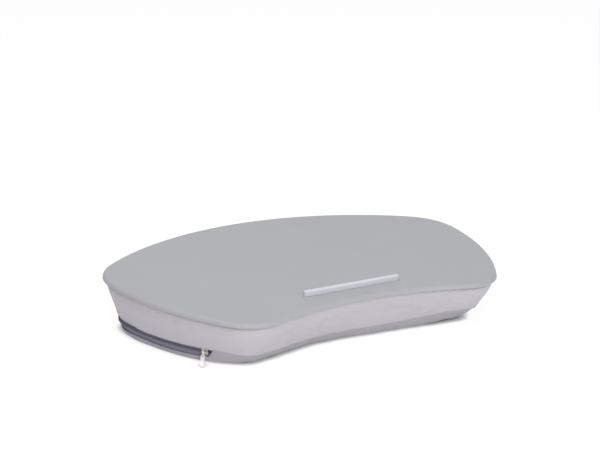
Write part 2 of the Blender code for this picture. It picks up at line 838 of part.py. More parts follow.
def pull_matrix():
    """Puller frame: origin on the bail's rod, X along the rod, Y out along the blade to its tip."""
    rod = -RUN_CLEARANCE - WING - BAIL_REACH
    drop = asin((ZIP_HEIGHT - GAP - PULL_THICKNESS / 2) / PULL_LENGTH)
    place = slider_matrix() @ Matrix.Translation((0.0, rod, 0.0))
    turned = place @ Matrix.Rotation(radians(PULL_SLEW), 4, "Z") @ Matrix.Rotation(pi, 4, "Z")
    return turned @ Matrix.Rotation(-drop, 4, "X")


def make_puller(group, cutters):
    half = PULL_WIDTH / 2
    neck = NECK_WIDTH / 2
    shoulder = EYE_RADIUS + NECK_LENGTH
    points = [(-neck, EYE_RADIUS), (neck, EYE_RADIUS), (neck, shoulder - neck), (half, shoulder)]
    tip = PULL_LENGTH - half
    points += [(half * cos(pi * i / 8), tip + half * sin(pi * i / 8)) for i in range(9)]
    points += [(-half, shoulder), (-neck, shoulder - neck)]
    puller = add_object("zip_puller", outline_mesh("zip_puller", points, PULL_THICKNESS), group, "nickel")
    puller.matrix_world = pull_matrix()

    def ring(work):
        turns = 16
        sides = 8
        rows = []
        for i in range(turns):
            around = 2 * pi * i / turns
            row = []
            for j in range(sides):
                angle = 2 * pi * j / sides
                reach = EYE_RADIUS + EYE_WIRE * cos(angle)
                row.append(work.verts.new((EYE_WIRE * sin(angle), reach * cos(around), reach * sin(around))))
            rows.append(row)
        for i in range(turns):
            for j in range(sides):
                near, far = rows[i], rows[(i + 1) % turns]
                work.faces.new((near[j], near[(j + 1) % sides], far[(j + 1) % sides], far[j]))

    combine(puller, mesh_from("eye", ring), "UNION", cutters)
    marks = ((shoulder + PULL_HOLE_RADIUS, PULL_HOLE_RADIUS, 0.0, PULL_THICKNESS),
             (tip, DIMPLE_RADIUS, PULL_THICKNESS / 2, 2 * DIMPLE_DEPTH))
    for along, radius, height, depth in marks:
        def cut(work, along=along, radius=radius, height=height, depth=depth):
            reach = depth if height else 2 * depth
            place = Matrix.Translation((0.0, along, height))
            bmesh.ops.create_cone(work, cap_ends=True, segments=12, radius1=radius, radius2=radius,
                                  depth=reach, matrix=place)

        combine(puller, mesh_from("pull_mark", cut), "DIFFERENCE", cutters)


def main():
    clear_scene()
    parts = collection("cushioned_lap_desk")
    cutters = collection("cutters")
    make_board(parts, cutters)
    make_bar(parts, cutters)
    make_strips(parts)
    make_top_panel(parts)
    make_boxing(parts)
    make_bottom_panel(parts)
    make_foam(parts)
    make_tapes(parts)
    make_teeth(parts)
    make_stops(parts)
    make_slider(parts, cutters)
    make_puller(parts, cutters)


main()
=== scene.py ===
"""Looks of the cushioned lap desk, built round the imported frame.

Lengths are in metres, in the frame's own axes. The board's outline is a chain of tangent arcs. A station is
a point on it with its outward normal, and a ring is the outline moved in along those normals. So each surface
of the board, the cover and the foam is a function of the place round the outline and the place on a profile.
"""

import bmesh
import bpy
import numpy as np
from mathutils import Matrix, Vector


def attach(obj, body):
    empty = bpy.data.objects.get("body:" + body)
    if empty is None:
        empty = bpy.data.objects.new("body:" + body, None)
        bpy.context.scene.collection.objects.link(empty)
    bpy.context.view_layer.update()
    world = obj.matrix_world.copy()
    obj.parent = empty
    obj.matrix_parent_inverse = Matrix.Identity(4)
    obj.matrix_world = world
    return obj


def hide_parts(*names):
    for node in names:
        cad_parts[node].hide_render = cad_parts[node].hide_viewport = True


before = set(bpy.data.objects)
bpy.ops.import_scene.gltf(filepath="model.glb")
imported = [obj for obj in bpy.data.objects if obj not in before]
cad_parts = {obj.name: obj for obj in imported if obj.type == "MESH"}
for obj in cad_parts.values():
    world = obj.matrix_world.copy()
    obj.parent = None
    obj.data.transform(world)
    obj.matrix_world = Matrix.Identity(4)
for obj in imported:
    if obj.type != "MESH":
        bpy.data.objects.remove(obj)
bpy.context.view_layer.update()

MM = 0.001

# Sizes shared with the frame
ARCS = ((385.0 * MM, 36.55), (78.9 * MM, 56.5), (355.9 * MM, 32.05), (52.8 * MM, 73.65))
TILT = np.radians(3.1)
TOP_HEIGHT = 68.6 * MM
GAP = 0.3 * MM
SKIN = 2.2 * MM
RIM_HEIGHT = 5.5 * MM
EDGE_RADIUS = 2.5 * MM
RIB_WIDTH = 1.8 * MM
RIB_PITCH = 38.0 * MM
RIB_COUNT = 8
RIB_SHIFT = -2.0 * MM
RIB_DEPTH = 4.8 * MM
BAR_LENGTH = 139.5 * MM
BAR_DEPTH = 6.3 * MM
BAR_HEIGHT = 6.8 * MM
BAR_ROUND = 3.0 * MM
BAR_TOP_ROUND = 2.0 * MM
BAR_SETBACK = 31.8 * MM
GROOVE_DEPTH = 0.8 * MM
PEG_RADIUS = 2.0 * MM
PEG_SPACING = 55.0 * MM
COVER_TOP = 5.1 * MM
FABRIC = 1.2 * MM
SLOPED_FABRIC = 1.8 * MM
TOP_INSET = 3.0 * MM
SHOULDER_INSET = 20.6 * MM
SHOULDER_HEIGHT = 22.0 * MM
SEAM_INSET = 27.0 * MM
SEAM_HEIGHT = 11.0 * MM
BULGE = 2.0 * MM
LEAN = 5.0 * MM
ZIP_LENGTH = 305.0 * MM
ZIP_HEIGHT = 12.0 * MM
ZIP_INSET = 25.5 * MM
SLIDER_HEADING = 118.2
SLOT_ABOVE = 5.0 * MM
SLOT_BELOW = 5.8 * MM
SLOT_FRONT_TAPER = 9.0 * MM
SLOT_REAR_TAPER = 12.0 * MM
TAPE_THICKNESS = 0.6 * MM
TAPE_FACE = 1.5 * MM
TAPE_GAP_HALF = 1.5 * MM
TAPE_TUCK = 3.0 * MM
STOP_LENGTH = 3.0 * MM
SLIDER_LENGTH = 9.0 * MM
SLIDER_MOUTH_HALF = 4.0 * MM
SLIDER_TAIL_HALF = 3.6 * MM
SLIDER_CHAMFER = 1.0 * MM
WING = 1.1 * MM
RUN_CLEARANCE = 0.35 * MM
WING_FACE = 2.45 * MM
POST_LENGTH = 2.4 * MM
POST_HALF = 1.1 * MM
FLANGE = 0.85 * MM
BAIL_WIRE = 0.6 * MM
BAIL_REACH = 3.0 * MM
BAIL_HALF = 2.8 * MM
BAIL_BEND = 0.93 * MM
EYE_RADIUS = 1.85 * MM
EYE_WIRE = 0.6 * MM
PULL_LENGTH = 24.0 * MM
PULL_WIDTH = 5.4 * MM
PULL_THICKNESS = 1.3 * MM
NECK_WIDTH = 2.8 * MM
NECK_LENGTH = 4.05 * MM
PULL_HOLE_RADIUS = 1.15 * MM
PULL_SLEW = np.radians(30.0)

# Resolution of the rings, and how far a change in a soft field is eased
COLUMNS = 480
EASE = 18.0 * MM


# Meshes

def finish_mesh(name, points, faces, uv=None, smooth=True):
    """Object whose mesh has these points (N, 3), faces and, if given, one UV for each point."""
    mesh = bpy.data.meshes.new(name)
    mesh.from_pydata(points.reshape(-1, 3).tolist(), [], faces)
    if uv is not None:
        layer = mesh.uv_layers.new(name="UVMap")
        corner = np.zeros(len(mesh.loops), dtype=np.int32)
        mesh.loops.foreach_get("vertex_index", corner)
        layer.data.foreach_set("uv", uv.reshape(-1, 2)[corner].astype(np.float32).ravel())
    mesh.polygons.foreach_set("use_smooth", np.full(len(mesh.polygons), smooth))
    mesh.update()
    item = bpy.data.objects.new(name, mesh)
    bpy.context.scene.collection.objects.link(item)
    return item


def grid_faces(count_u, count_v, closed_u=False, closed_v=False, offset=0):
    """Quads between neighbours of a count_u by count_v grid, turned so that v crossed with u points out."""
    u = np.arange(count_u if closed_u else count_u - 1)
    v = np.arange(count_v if closed_v else count_v - 1)
    i, j = np.meshgrid(u, v, indexing="ij")
    i_next = (i + 1) % count_u
    j_next = (j + 1) % count_v
    corners = [i * count_v + j, i * count_v + j_next, i_next * count_v + j_next, i_next * count_v + j]
    return (np.stack(corners, axis=-1).reshape(-1, 4) + offset).tolist()


def ring_face(count_u, count_v, row, outward_up):
    """One flat face over a whole row of a grid that is closed in u."""
    ring = (np.arange(count_u) * count_v + row).tolist()
    return ring[::-1] if outward_up else ring


def shell(name, points, uv=None, low_cap=False, high_cap=False):
    """Surface of stacked rings: points (U, V, 3) closed in u, with flat faces over its first or last row."""
    count_u, count_v = points.shape[:2]
    faces = grid_faces(count_u, count_v, closed_u=True)
    if low_cap:
        faces.append(ring_face(count_u, count_v, 0, False))
    if high_cap:
        faces.append(ring_face(count_u, count_v, count_v - 1, True))
    return finish_mesh(name, points, faces, uv)


def block(name, points):
    """Closed solid of stacked rings."""
    return turned_out(shell(name, points, low_cap=True, high_cap=True))


def turned_out(item):
    """Makes a closed mesh's faces point outwards."""
    work = bmesh.new()
    work.from_mesh(item.data)
    bmesh.ops.remove_doubles(work, verts=work.verts, dist=0.0001 * MM)
    bmesh.ops.recalc_face_normals(work, faces=work.faces)
    work.to_mesh(item.data)
    work.free()
    return item


def sweep(name, sections, uv=None, closed_path=False):
    """Closed sections (N, M, 3) carried along a path, with flat ends unless the path is closed."""
    count, sides = sections.shape[:2]
    faces = grid_faces(count, sides, closed_u=closed_path, closed_v=True)
    if not closed_path:
        faces.append(list(range(sides)))
        faces.append(list(range(count * sides - 1, (count - 1) * sides - 1, -1)))
    return turned_out(finish_mesh(name, sections, faces, uv))


def applied(item):
    """Replaces the object's mesh by its evaluated one, and clears its modifiers."""
    bpy.context.view_layer.update()
    evaluated = item.evaluated_get(bpy.context.evaluated_depsgraph_get())
    mesh = bpy.data.meshes.new_from_object(evaluated)
    old = item.data
    item.modifiers.clear()
    item.data = mesh
    bpy.data.meshes.remove(old)
    mesh.name = item.name
    return item


def combined(item, others, operation):
    """Exact Boolean of the object with each other object in turn. The others are used up."""
    for other in others:
        change = item.modifiers.new("combine", "BOOLEAN")
        change.operation = operation
        change.solver = "EXACT"
        change.object = other
        applied(item)
        bpy.data.objects.remove(other, do_unlink=True)
    return item


def thicken(item, thickness):
    """Gives an open surface a wall on its inner side."""
    wall = item.modifiers.new("cloth", "SOLIDIFY")
    wall.thickness = thickness
    wall.offset = -1.0
    wall.use_even_offset = True
    return applied(item)


def sharp_by_angle(item, degrees=35.0):
    """Marks edges sharper than an angle, so that flats stay flat beside rounded edges."""
    work = bmesh.new()
    work.from_mesh(item.data)
    limit = np.radians(degrees)
    for edge in work.edges:
        edge.smooth = bool(len(edge.link_faces) == 2 and edge.calc_face_angle(0.0) < limit)
    for face in work.faces:
        face.smooth = True
    work.to_mesh(item.data)
    work.free()
    return item


# Outline

def normals_at(heading):
    """Outward normals for headings in degrees, counted clockwise from the rear."""
    turn = np.radians(heading)
    return np.stack([np.sin(turn), np.cos(turn)], axis=-1)


def arc_table():
    """Rows of centre, signed radius, first heading and first length, for the right half of the outline."""
    place = np.zeros(2)
    heading = 0.0
    length = 0.0
    centres, radii, headings, lengths = [], [], [], []
    for radius, turn in ARCS:
        centre = place - radius * normals_at(heading)
        centres.append(centre)
        radii.append(radius)
        headings.append(heading)
        lengths.append(length)
        heading += turn
        length += np.radians(turn) * radius
        place = centre + radius * normals_at(heading)
    hollow = place[0] / np.sin(np.radians(heading - 180.0))
    centres.append(place + hollow * normals_at(heading))
    radii.append(-hollow)
    headings.append(heading)
    lengths.append(length)
    half = length + np.radians(heading - 180.0) * hollow
    centres = np.array(centres)
    centres[:, 1] -= (centres[3, 1] - radii[3]) / 2
    return centres, np.array(radii), np.array(headings), np.array(lengths), half


CENTRES, RADII, HEADINGS, LENGTHS, HALF = arc_table()
FRONT_MIDDLE = CENTRES[4, 1] - RADII[4]


def along_half(length):
    """Points and normals after lengths along the right half, from the rear's middle to the waist's middle."""
    row = np.clip(np.searchsorted(LENGTHS, length, side="right") - 1, 0, len(LENGTHS) - 1)
    heading = HEADINGS[row] + np.degrees((length - LENGTHS[row]) / RADII[row])
    normals = normals_at(heading)
    return CENTRES[row] + RADII[row][..., None] * normals, normals


def along(length):
    """Stations after lengths clockwise round the whole outline, the left half mirrored from the right."""
    length = np.mod(length, 2 * HALF)
    left = length > HALF
    points, normals = along_half(np.where(left, 2 * HALF - length, length))
    flip = np.stack([np.where(left, -1.0, 1.0), np.ones_like(length)], axis=-1)
    return points * flip, normals * flip


def left_stations(heading):
    """Stations on the left half, at headings counted like the right half's."""
    length = np.interp(heading, HEADINGS, LENGTHS)
    points, normals = along_half(length)
    flip = np.array([-1.0, 1.0])
    return points * flip, normals * flip


ROUND = np.arange(COLUMNS) * (2 * HALF / COLUMNS)
POINTS, NORMALS = along(ROUND)


# Heights, cushion and zip

def plane_height(y, depth):
    """Height of the plane this deep under the board's top: it rises to the rear by the tilt's tangent."""
    return TOP_HEIGHT + y * np.tan(TILT) - depth / np.cos(TILT)


def cushion_points(points, normals, inset, height):
    """Points of the cushion: moved in along the normals, leaning left by a share that ends at the board."""
    place = points - inset[..., None] * normals
    top = plane_height(place[..., 1], COVER_TOP)
    lean = LEAN * np.minimum(1.0, (top - height) / (top - SHOULDER_HEIGHT))
    return np.stack([place[..., 0] - lean, place[..., 1], height + 0.0 * lean], axis=-1)


def soft_field(*knots):
    """Value round the outline, in metres: lines between knots of length and value in mm, then eased."""
    lengths, values = np.array(knots).T * MM
    field = np.interp(ROUND, lengths, values)
    reach = int(EASE * COLUMNS / (2 * HALF))
    weights = np.hanning(2 * reach + 3)[1:-1]
    wrapped = np.concatenate([field[-reach:], field, field[:reach]])
    return np.convolve(wrapped, weights / weights.sum(), mode="valid")


# How the stuffed cover departs from its cut, by length round the outline
SEAM_RISE = soft_field((0, 0), (250, 0), (330, 3), (400, 5), (500, 6), (540, 6), (560, 8), (580, 8.8),
                       (600, 7.8), (620, 4.8), (640, 2.6), (660, 1), (690, 0), (880, 0), (900, 0.4),
                       (920, 1.4), (940, 2.7), (960, 5.0), (975, 5.3), (1000, 1), (1020, 0), (1459, 0))
LOWER_OUT = soft_field((0, 0), (280, 0), (360, 3), (510, 3), (570, 1), (620, 0.4), (640, 2), (670, 4),
                       (700, 5), (740, 3), (780, 1), (820, 3.6), (845, 4.6), (870, 2), (890, 0.3),
                       (925, 0.3), (940, 1.5), (960, 3.6), (985, 3.6), (1020, 3.8), (1050, 3.2),
                       (1075, 2.8), (1100, 3.0), (1125, 2.6), (1150, 3.2), (1185, 3.5), (1240, 0),
                       (1459, 0))
MIDDLE_OUT = soft_field((0, 0), (300, 0), (380, 1), (520, 1), (575, -1.8), (650, -2.6), (1119, -2.2),
                        (1183, -3.4), (1259, 0), (1459, 0))
ROLL = soft_field((0, 8), (300, 8), (400, 20), (480, 23), (520, 23.5), (585, 23.5), (605, 16), (620, 9.5),
                  (640, 7.5), (700, 7), (740, 9.5), (800, 10.6), (860, 11.2), (900, 12), (920, 11.5),
                  (940, 8), (960, 2.4), (985, -1.7), (1020, -2.1), (1050, -1.7), (1075, -1.3), (1100, -1.8),
                  (1125, -0.2), (1150, 2.8), (1185, 3), (1240, 8), (1459, 8))
LIFT = soft_field((0, 0), (330, 0), (400, 0.8), (480, 1.2), (560, 1.5), (600, 1.1), (625, 0.3), (645, 0),
                  (1459, 0))
SLOT_DROP = soft_field((0, 0), (960, 0), (990, 1.6), (1020, 2.3), (1060, 2.4), (1100, 1.4), (1125, 2.4),
                       (1150, 2.4), (1200, 1.2), (1240, 0), (1459, 0))
SLOT_STRETCH = soft_field((0, 0), (930, -2.2), (1095, -2.2), (1125, 3), (1150, 4.2), (1200, 4), (1250, 0),
                          (1459, 0))
ZIP_OUT = soft_field((0, 0), (1158, 0), (1178, 3.0), (1196, 3.0), (1240, 0), (1459, 0))
TUCK = 6.5 * MM
TUCK_HEIGHT = 2.5 * MM
RECESS = 1.5 * MM
PUSH_TOP = 38.0 * MM
MIDDLE_FOOT = 5.0 * MM
ROLL_SLOPE, ROLL_CURVE = 0.7, 0.3


def left_length(heading):
    """Length round the outline of a heading on the left half."""
    return 2 * HALF - np.interp(heading, HEADINGS, LENGTHS)


def field_at(field, length):
    return np.interp(length, np.append(ROUND, 2 * HALF), np.append(field, field[0]))


def boxing_inset(height):
    """Inset of the side's outer face between the seam and the shoulder, a straight slope."""
    slope = (SEAM_INSET - SHOULDER_INSET) / (SHOULDER_HEIGHT - SEAM_HEIGHT)
    return SEAM_INSET - slope * (height - SEAM_HEIGHT)


def side_inset(length, height, top):
    """Inset of the side: the cut's slope and bulge, less what the stuffing pushes out, then tucked in."""
    share = np.clip((height - SHOULDER_HEIGHT) / (top - SHOULDER_HEIGHT), 0.0, 1.0)
    above = SHOULDER_INSET + share * (TOP_INSET - SHOULDER_INSET) - BULGE * np.sin(np.pi * share)
    cut = np.where(height < SHOULDER_HEIGHT, boxing_inset(height), above)
    low = np.clip((PUSH_TOP - height) / (PUSH_TOP - SEAM_HEIGHT), 0.0, 1.1) ** 2
    middle = np.sin(np.pi * np.clip((height - MIDDLE_FOOT) / (top - MIDDLE_FOOT), 0.0, 1.0))
    tuck = np.clip(1.0 - (top - height) / TUCK_HEIGHT, 0.0, 1.0) ** 0.7
    return cut - field_at(LOWER_OUT, length) * low - field_at(MIDDLE_OUT, length) * middle + TUCK * tuck


def base_inset(length, height):
    """Inset of the stuffed bottom rolling under from the seam, between a slope and a quarter ellipse."""
    seam = SEAM_HEIGHT + field_at(SEAM_RISE, length)
    drop = np.clip(1.0 - height / seam, 0.0, 1.0)
    out = field_at(LOWER_OUT, length)
    start = boxing_inset(seam) - out * ((PUSH_TOP - seam) / (PUSH_TOP - SEAM_HEIGHT)) ** 2 + RECESS
    foot = SEAM_INSET + RECESS - out + field_at(ROLL, length)
    return start + (foot - start) * (ROLL_SLOPE * drop + ROLL_CURVE * (1.0 - np.sqrt(1.0 - drop ** 2)))


def zip_track():
    """Travels and headings where the zip's path passes from one arc to the next, from its front end."""
    radii = RADII - ZIP_INSET
    ahead = SLIDER_LENGTH / 2 + GAP + STOP_LENGTH + GAP
    front = SLIDER_HEADING + np.degrees(ahead / radii[2])
    heads = np.array([front, HEADINGS[2], HEADINGS[1], 0.0])
    steps = np.radians(-np.diff(heads)) * radii[[2, 1, 0]]
    return np.concatenate([[0.0], np.cumsum(steps)]), heads


TRAVELS, TRAVEL_HEADS = zip_track()
ZIP_FRONT = TRAVEL_HEADS[0]
FRONT_WIDTH = np.degrees(SLOT_FRONT_TAPER / (RADII[2] - ZIP_INSET))
REAR_WIDTH = np.degrees(SLOT_REAR_TAPER / (RADII[0] - ZIP_INSET))


def heading_at(travel):
    """Heading after a travel along the zip; travels ahead of its front end stay on the side's arc."""
    ahead = np.degrees(np.minimum(travel, 0.0) / (RADII[2] - ZIP_INSET))
    return np.interp(travel, TRAVELS, TRAVEL_HEADS) - ahead


ZIP_REAR = float(heading_at(ZIP_LENGTH))


def slot_opening(heading):
    """How far the slot is open at a heading, 0 to 1: a smooth step over the taper past each end."""
    from_front = (ZIP_FRONT + FRONT_WIDTH - heading) / FRONT_WIDTH
    from_rear = (heading - ZIP_REAR + REAR_WIDTH) / REAR_WIDTH
    share = np.clip(np.minimum(from_front, from_rear), 0.0, 1.0)
    return share * share * (3.0 - 2.0 * share)


def zip_points(travel, depth, rise):
    """Points beside the zip's centre line, this deep under the teeth's face and this far above the line."""
    heading = heading_at(travel)
    points, normals = left_stations(heading)
    out = field_at(ZIP_OUT, left_length(heading))
    return cushion_points(points, normals, ZIP_INSET - out + depth, ZIP_HEIGHT + rise)


# Board

RIM_OVER = (4.6 * MM, 4.8 * MM)


def to_board(points):
    """Moves points from the board's own frame, with its top at zero, to their place on the cushion."""
    middle = -(RIM_HEIGHT + EDGE_RADIUS) / 2 * np.sin(TILT)
    x, y, z = points[..., 0], points[..., 1], points[..., 2]
    c, s = np.cos(TILT), np.sin(TILT)
    return np.stack([x, y * c - z * s + middle, y * s + z * c + TOP_HEIGHT], axis=-1)


def ringed(points, normals, insets, heights):
    """Rings of an outline at pairs of inset and height: points (U, V, 3) in a flat frame."""
    place = points[:, None] - insets[None, :, None] * normals[:, None]
    level = np.broadcast_to(heights[None, :], place.shape[:2])
    return np.concatenate([place, level[..., None]], axis=-1)


def rounded_outline(half_length, half_depth, radius, steps=8):
    """Points and normals of a rectangle, clockwise: a corner is its centre plus radius times normal."""
    angle = np.linspace(0.0, np.pi / 2, steps)
    points, normals = [], []
    for k, (sx, sy) in enumerate(((1, 1), (1, -1), (-1, -1), (-1, 1))):
        turn = angle + k * np.pi / 2
        normal = np.stack([np.sin(turn), np.cos(turn)], axis=-1)
        centre = np.array([sx * (half_length - radius), sy * (half_depth - radius)])
        points.append(centre + radius * normal)
        normals.append(normal)
    return np.concatenate(points), np.concatenate(normals)


BAR_PLACE = FRONT_MIDDLE + BAR_SETBACK + BAR_DEPTH / 2


def bar_rings(margin, insets, heights):
    points, normals = rounded_outline(BAR_LENGTH / 2 + margin, BAR_DEPTH / 2 + margin, BAR_ROUND + margin)
    points = points + np.array([0.0, BAR_PLACE])
    return to_board(ringed(points, normals, insets, heights))


def post_rings(x, radius, low, high):
    turn = np.linspace(0.0, 2 * np.pi, 24, endpoint=False)
    normal = np.stack([np.sin(turn), np.cos(turn)], axis=-1)
    points = np.array([x, BAR_PLACE]) + radius * normal
    return to_board(ringed(points, normal, np.zeros(2), np.array([low, high])))


def rib_boxes():
    """The board's ribs: bars across its underside, ending inside the rim's wall."""
    first = -(RIB_COUNT - 1) / 2 * RIB_PITCH + RIB_SHIFT
    inner = POINTS - SKIN / 2 * NORMALS
    right = inner[:COLUMNS // 2 + 1]
    boxes = []
    for k in range(RIB_COUNT):
        y = first + k * RIB_PITCH
        near = np.abs(right[:, 1] - y) < RIB_WIDTH / 2 + 3.0 * MM
        reach = right[near, 0].min()
        signs = ((1, 1), (1, -1), (-1, -1), (-1, 1))
        corners = np.array([(a * reach, y + b * RIB_WIDTH / 2) for a, b in signs])
        rings = ringed(corners, np.zeros_like(corners), np.zeros(2), np.array([-RIB_DEPTH, -SKIN / 2]))
        boxes.append(to_board(rings))
    points = np.concatenate(boxes)
    faces = []
    for k in range(RIB_COUNT):
        faces += grid_faces(4, 2, closed_u=True, offset=8 * k)
        faces.append([8 * k + i for i in (0, 2, 4, 6)])
        faces.append([8 * k + i for i in (7, 5, 3, 1)])
    return turned_out(finish_mesh("ribs", points, faces, smooth=False))


def make_board():
    """Moulded board: one profile round the outline, over the rim, down, in and up to the underside."""
    over = np.linspace(0.0, np.pi / 2, 10)
    foot = 0.5 * MM
    under = np.linspace(0.0, np.pi, 7)
    inset = np.concatenate([[12.0 * MM, RIM_OVER[0] + 0.8 * MM], RIM_OVER[0] * (1.0 - np.sin(over)),
                            foot * (1.0 - np.cos(under[:4])), SKIN - foot * (1.0 + np.cos(under[3:])),
                            [SKIN, SKIN + 0.3 * MM, SKIN + 1.2 * MM]])
    height = np.concatenate([[0.0, 0.0], -RIM_OVER[1] * (1.0 - np.cos(over)),
                             -RIM_HEIGHT + foot - foot * np.sin(under[:4]),
                             -RIM_HEIGHT + foot - foot * np.sin(under[3:]),
                             [-SKIN - 1.0 * MM, -SKIN - 0.2 * MM, -SKIN]])
    rings = to_board(ringed(POINTS, NORMALS, inset[::-1], height[::-1]))
    board = block("board_shell", rings)
    combined(board, [rib_boxes()], "UNION")
    groove = block("groove", bar_rings(GAP, np.zeros(2), np.array([-GROOVE_DEPTH, BAR_HEIGHT])))
    places = PEG_SPACING * np.array([-1.0, 0.0, 1.0])
    holes = [block("hole", post_rings(x, PEG_RADIUS + GAP, -2 * SKIN, SKIN)) for x in places]
    combined(board, [groove, *holes], "DIFFERENCE")
    return sharp_by_angle(board)


def make_bar():
    """Stop bar: a round-cornered block whose top edge rolls over, with three pegs into the board."""
    up = np.linspace(0.0, np.pi / 2, 7)[::-1]
    inset = np.concatenate([[0.3 * MM, 0.0], BAR_TOP_ROUND * (1.0 - np.sin(up)), [BAR_TOP_ROUND + 0.5 * MM]])
    foot = GAP - GROOVE_DEPTH
    over = BAR_HEIGHT - BAR_TOP_ROUND * (1.0 - np.cos(up))
    height = np.concatenate([[foot, foot + 0.3 * MM], over, [BAR_HEIGHT]])
    bar = block("bar_moulding", bar_rings(0.0, inset, height))
    pegs = [block("peg", post_rings(k * PEG_SPACING, PEG_RADIUS, -SKIN, BAR_HEIGHT / 2)) for k in (-1, 0, 1)]
    combined(bar, pegs, "UNION")
    return sharp_by_angle(bar)


# Cover

HEAD, HEAD_LEAST = 1.2 * MM, 0.3 * MM
HEAD_PAST_SLOT = 3.0 * MM
SIDE_GIVE = 1.5 * MM
BASE_GIVE = 1.0 * MM
STITCH_SETBACK = 1.7 * MM


def smoothed(points, passes):
    """Each point of the inner rows moves halfway to the mean of the points above and below it."""
    points = points.copy()
    for _ in range(passes):
        points[:, 1:-1] = points[:, 1:-1] / 2 + (points[:, :-2] + points[:, 2:]) / 4
    return points


def outward(points):
    """Unit normals of a grid closed in u, from the cross product of its differences."""
    du = np.roll(points, -1, axis=0) - np.roll(points, 1, axis=0)
    dv = np.gradient(points, axis=1)
    normal = np.cross(dv, du)
    return normal / np.linalg.norm(normal, axis=-1, keepdims=True)


def slot_at(length):
    """How far the zip's slot is open after a length round the outline."""
    heading = np.interp(2 * HALF - length, LENGTHS, HEADINGS)
    return np.where(length > HALF, slot_opening(heading), 0.0)


def side_grid(rows=26):
    """The cover's side from its lower edge, which rises round the zip, to the tucked edge at the board."""
    closed = SEAM_HEIGHT + SEAM_RISE - GAP
    low = closed + slot_at(ROUND) * (ZIP_HEIGHT + SLOT_ABOVE + SLOT_STRETCH - closed)
    edge = POINTS - TOP_INSET * NORMALS
    top = plane_height(edge[:, 1], COVER_TOP)
    share = np.linspace(0.0, 1.0, rows - 4)
    share = np.concatenate([share[:-2], np.linspace(share[-2], 1.0, 6)])[None, :]
    height = low[:, None] + share * (top - low)[:, None]
    inset = side_inset(ROUND[:, None], height, top[:, None])
    points = cushion_points(POINTS[:, None], NORMALS[:, None], inset, height)
    points[:, :-5] = smoothed(points, 8)[:, :-5]
    return points


def base_grid(rows=10):
    """The cover's bottom from its upper edge, which drops round the zip, rolling to the flat underside."""
    seam = (SEAM_HEIGHT + SEAM_RISE)[:, None]
    opening = np.minimum(slot_at(ROUND), slot_at(ROUND - HEAD_PAST_SLOT))[:, None]
    high = seam - opening * (seam - ZIP_HEIGHT + SLOT_BELOW + SLOT_DROP[:, None])
    start = np.arcsin(1.0 - high / seam)
    angle = start + np.linspace(0.0, 1.0, rows)[None, :] * (np.pi / 2 - start)
    height = seam * (1.0 - np.sin(angle))
    inset = base_inset(ROUND[:, None], height)
    head = (1.0 - opening) * HEAD + HEAD_LEAST
    height = np.concatenate([high + head, height], axis=1)
    height = LIFT[:, None] + height * (1.0 - LIFT[:, None] / seam)
    inset = np.concatenate([inset[:, :1] + 0.3 * head, inset], axis=1)
    points = cushion_points(POINTS[:, None], NORMALS[:, None], inset, height)
    under = points[:, -1:] * np.array([(0.975, 0.975, 0.4), (0.95, 0.95, 0.0)])[None]
    return np.concatenate([points, under], axis=1)[:, ::-1]


def settled(points, held_low, held_high, pressure, slack, cap):
    """Cloth at rest over the padding: pinned along its seams and pushed out, no point moving past the cap."""
    count_u, count_v = points.shape[:2]
    item = shell("cloth_trial", points)
    pinned = np.zeros((count_u, count_v), dtype=bool)
    pinned[:, :held_low] = True
    pinned[:, count_v - held_high:] = True
    group = item.vertex_groups.new(name="seams")
    group.add(np.flatnonzero(pinned.ravel()).tolist(), 1.0, "REPLACE")
    cloth = item.modifiers.new("cloth", "CLOTH")
    settings = cloth.settings
    settings.quality = 6
    settings.mass = 0.2
    settings.tension_stiffness = 20.0
    settings.compression_stiffness = 20.0
    settings.shear_stiffness = 8.0
    settings.bending_stiffness = 0.6
    settings.vertex_group_mass = "seams"
    settings.use_pressure = True
    settings.uniform_pressure_force = pressure
    settings.shrink_min = -slack
    settings.shrink_max = -slack
    settings.effector_weights.gravity = 0.0
    cloth.collision_settings.use_collision = False
    scene = bpy.context.scene
    for step in range(1, 21):
        scene.frame_set(step)
    evaluated = item.evaluated_get(bpy.context.evaluated_depsgraph_get())
    moved = np.zeros(points.size, dtype=np.float32)
    evaluated.data.vertices.foreach_get("co", moved)
    scene.frame_set(1)
    bpy.data.objects.remove(item, do_unlink=True)
    change = moved.reshape(points.shape).astype(float) - points
    length = np.linalg.norm(change, axis=-1, keepdims=True)
    return points + change * np.minimum(1.0, cap / np.maximum(length, 1e-9))


def run_across(points):
    """Length across a grid, from its first row to each point."""
    across = np.linalg.norm(np.diff(points, axis=1), axis=-1)
    return np.concatenate([np.zeros((len(points), 1)), np.cumsum(across, axis=1)], axis=1)


def cloth_uv(points):
    """Lengths round and across a grid, so that a weave keeps its size on the surface."""
    v = run_across(points)
    u = np.broadcast_to(ROUND[:, None], v.shape)
    return np.stack([u, v], axis=-1)


def make_side():
    points = side_grid()
    points = settled(points, 1, 6, 2.0, 0.006, SIDE_GIVE)
    side = shell("cover_side", points, cloth_uv(points))
    return thicken(side, FABRIC), points


def make_base():
    points = base_grid()
    points = settled(points, 3, 2, 1.5, 0.006, BASE_GIVE)
    points[..., 2] = np.maximum(points[..., 2], 0.0)
    base = thicken(shell("cover_base", points, cloth_uv(points), low_cap=True), FABRIC)
    place = np.zeros(3 * len(base.data.vertices), dtype=np.float32)
    base.data.vertices.foreach_get("co", place)
    place[2::3] = np.maximum(place[2::3], 0.0)
    base.data.vertices.foreach_set("co", place)
    return base, points


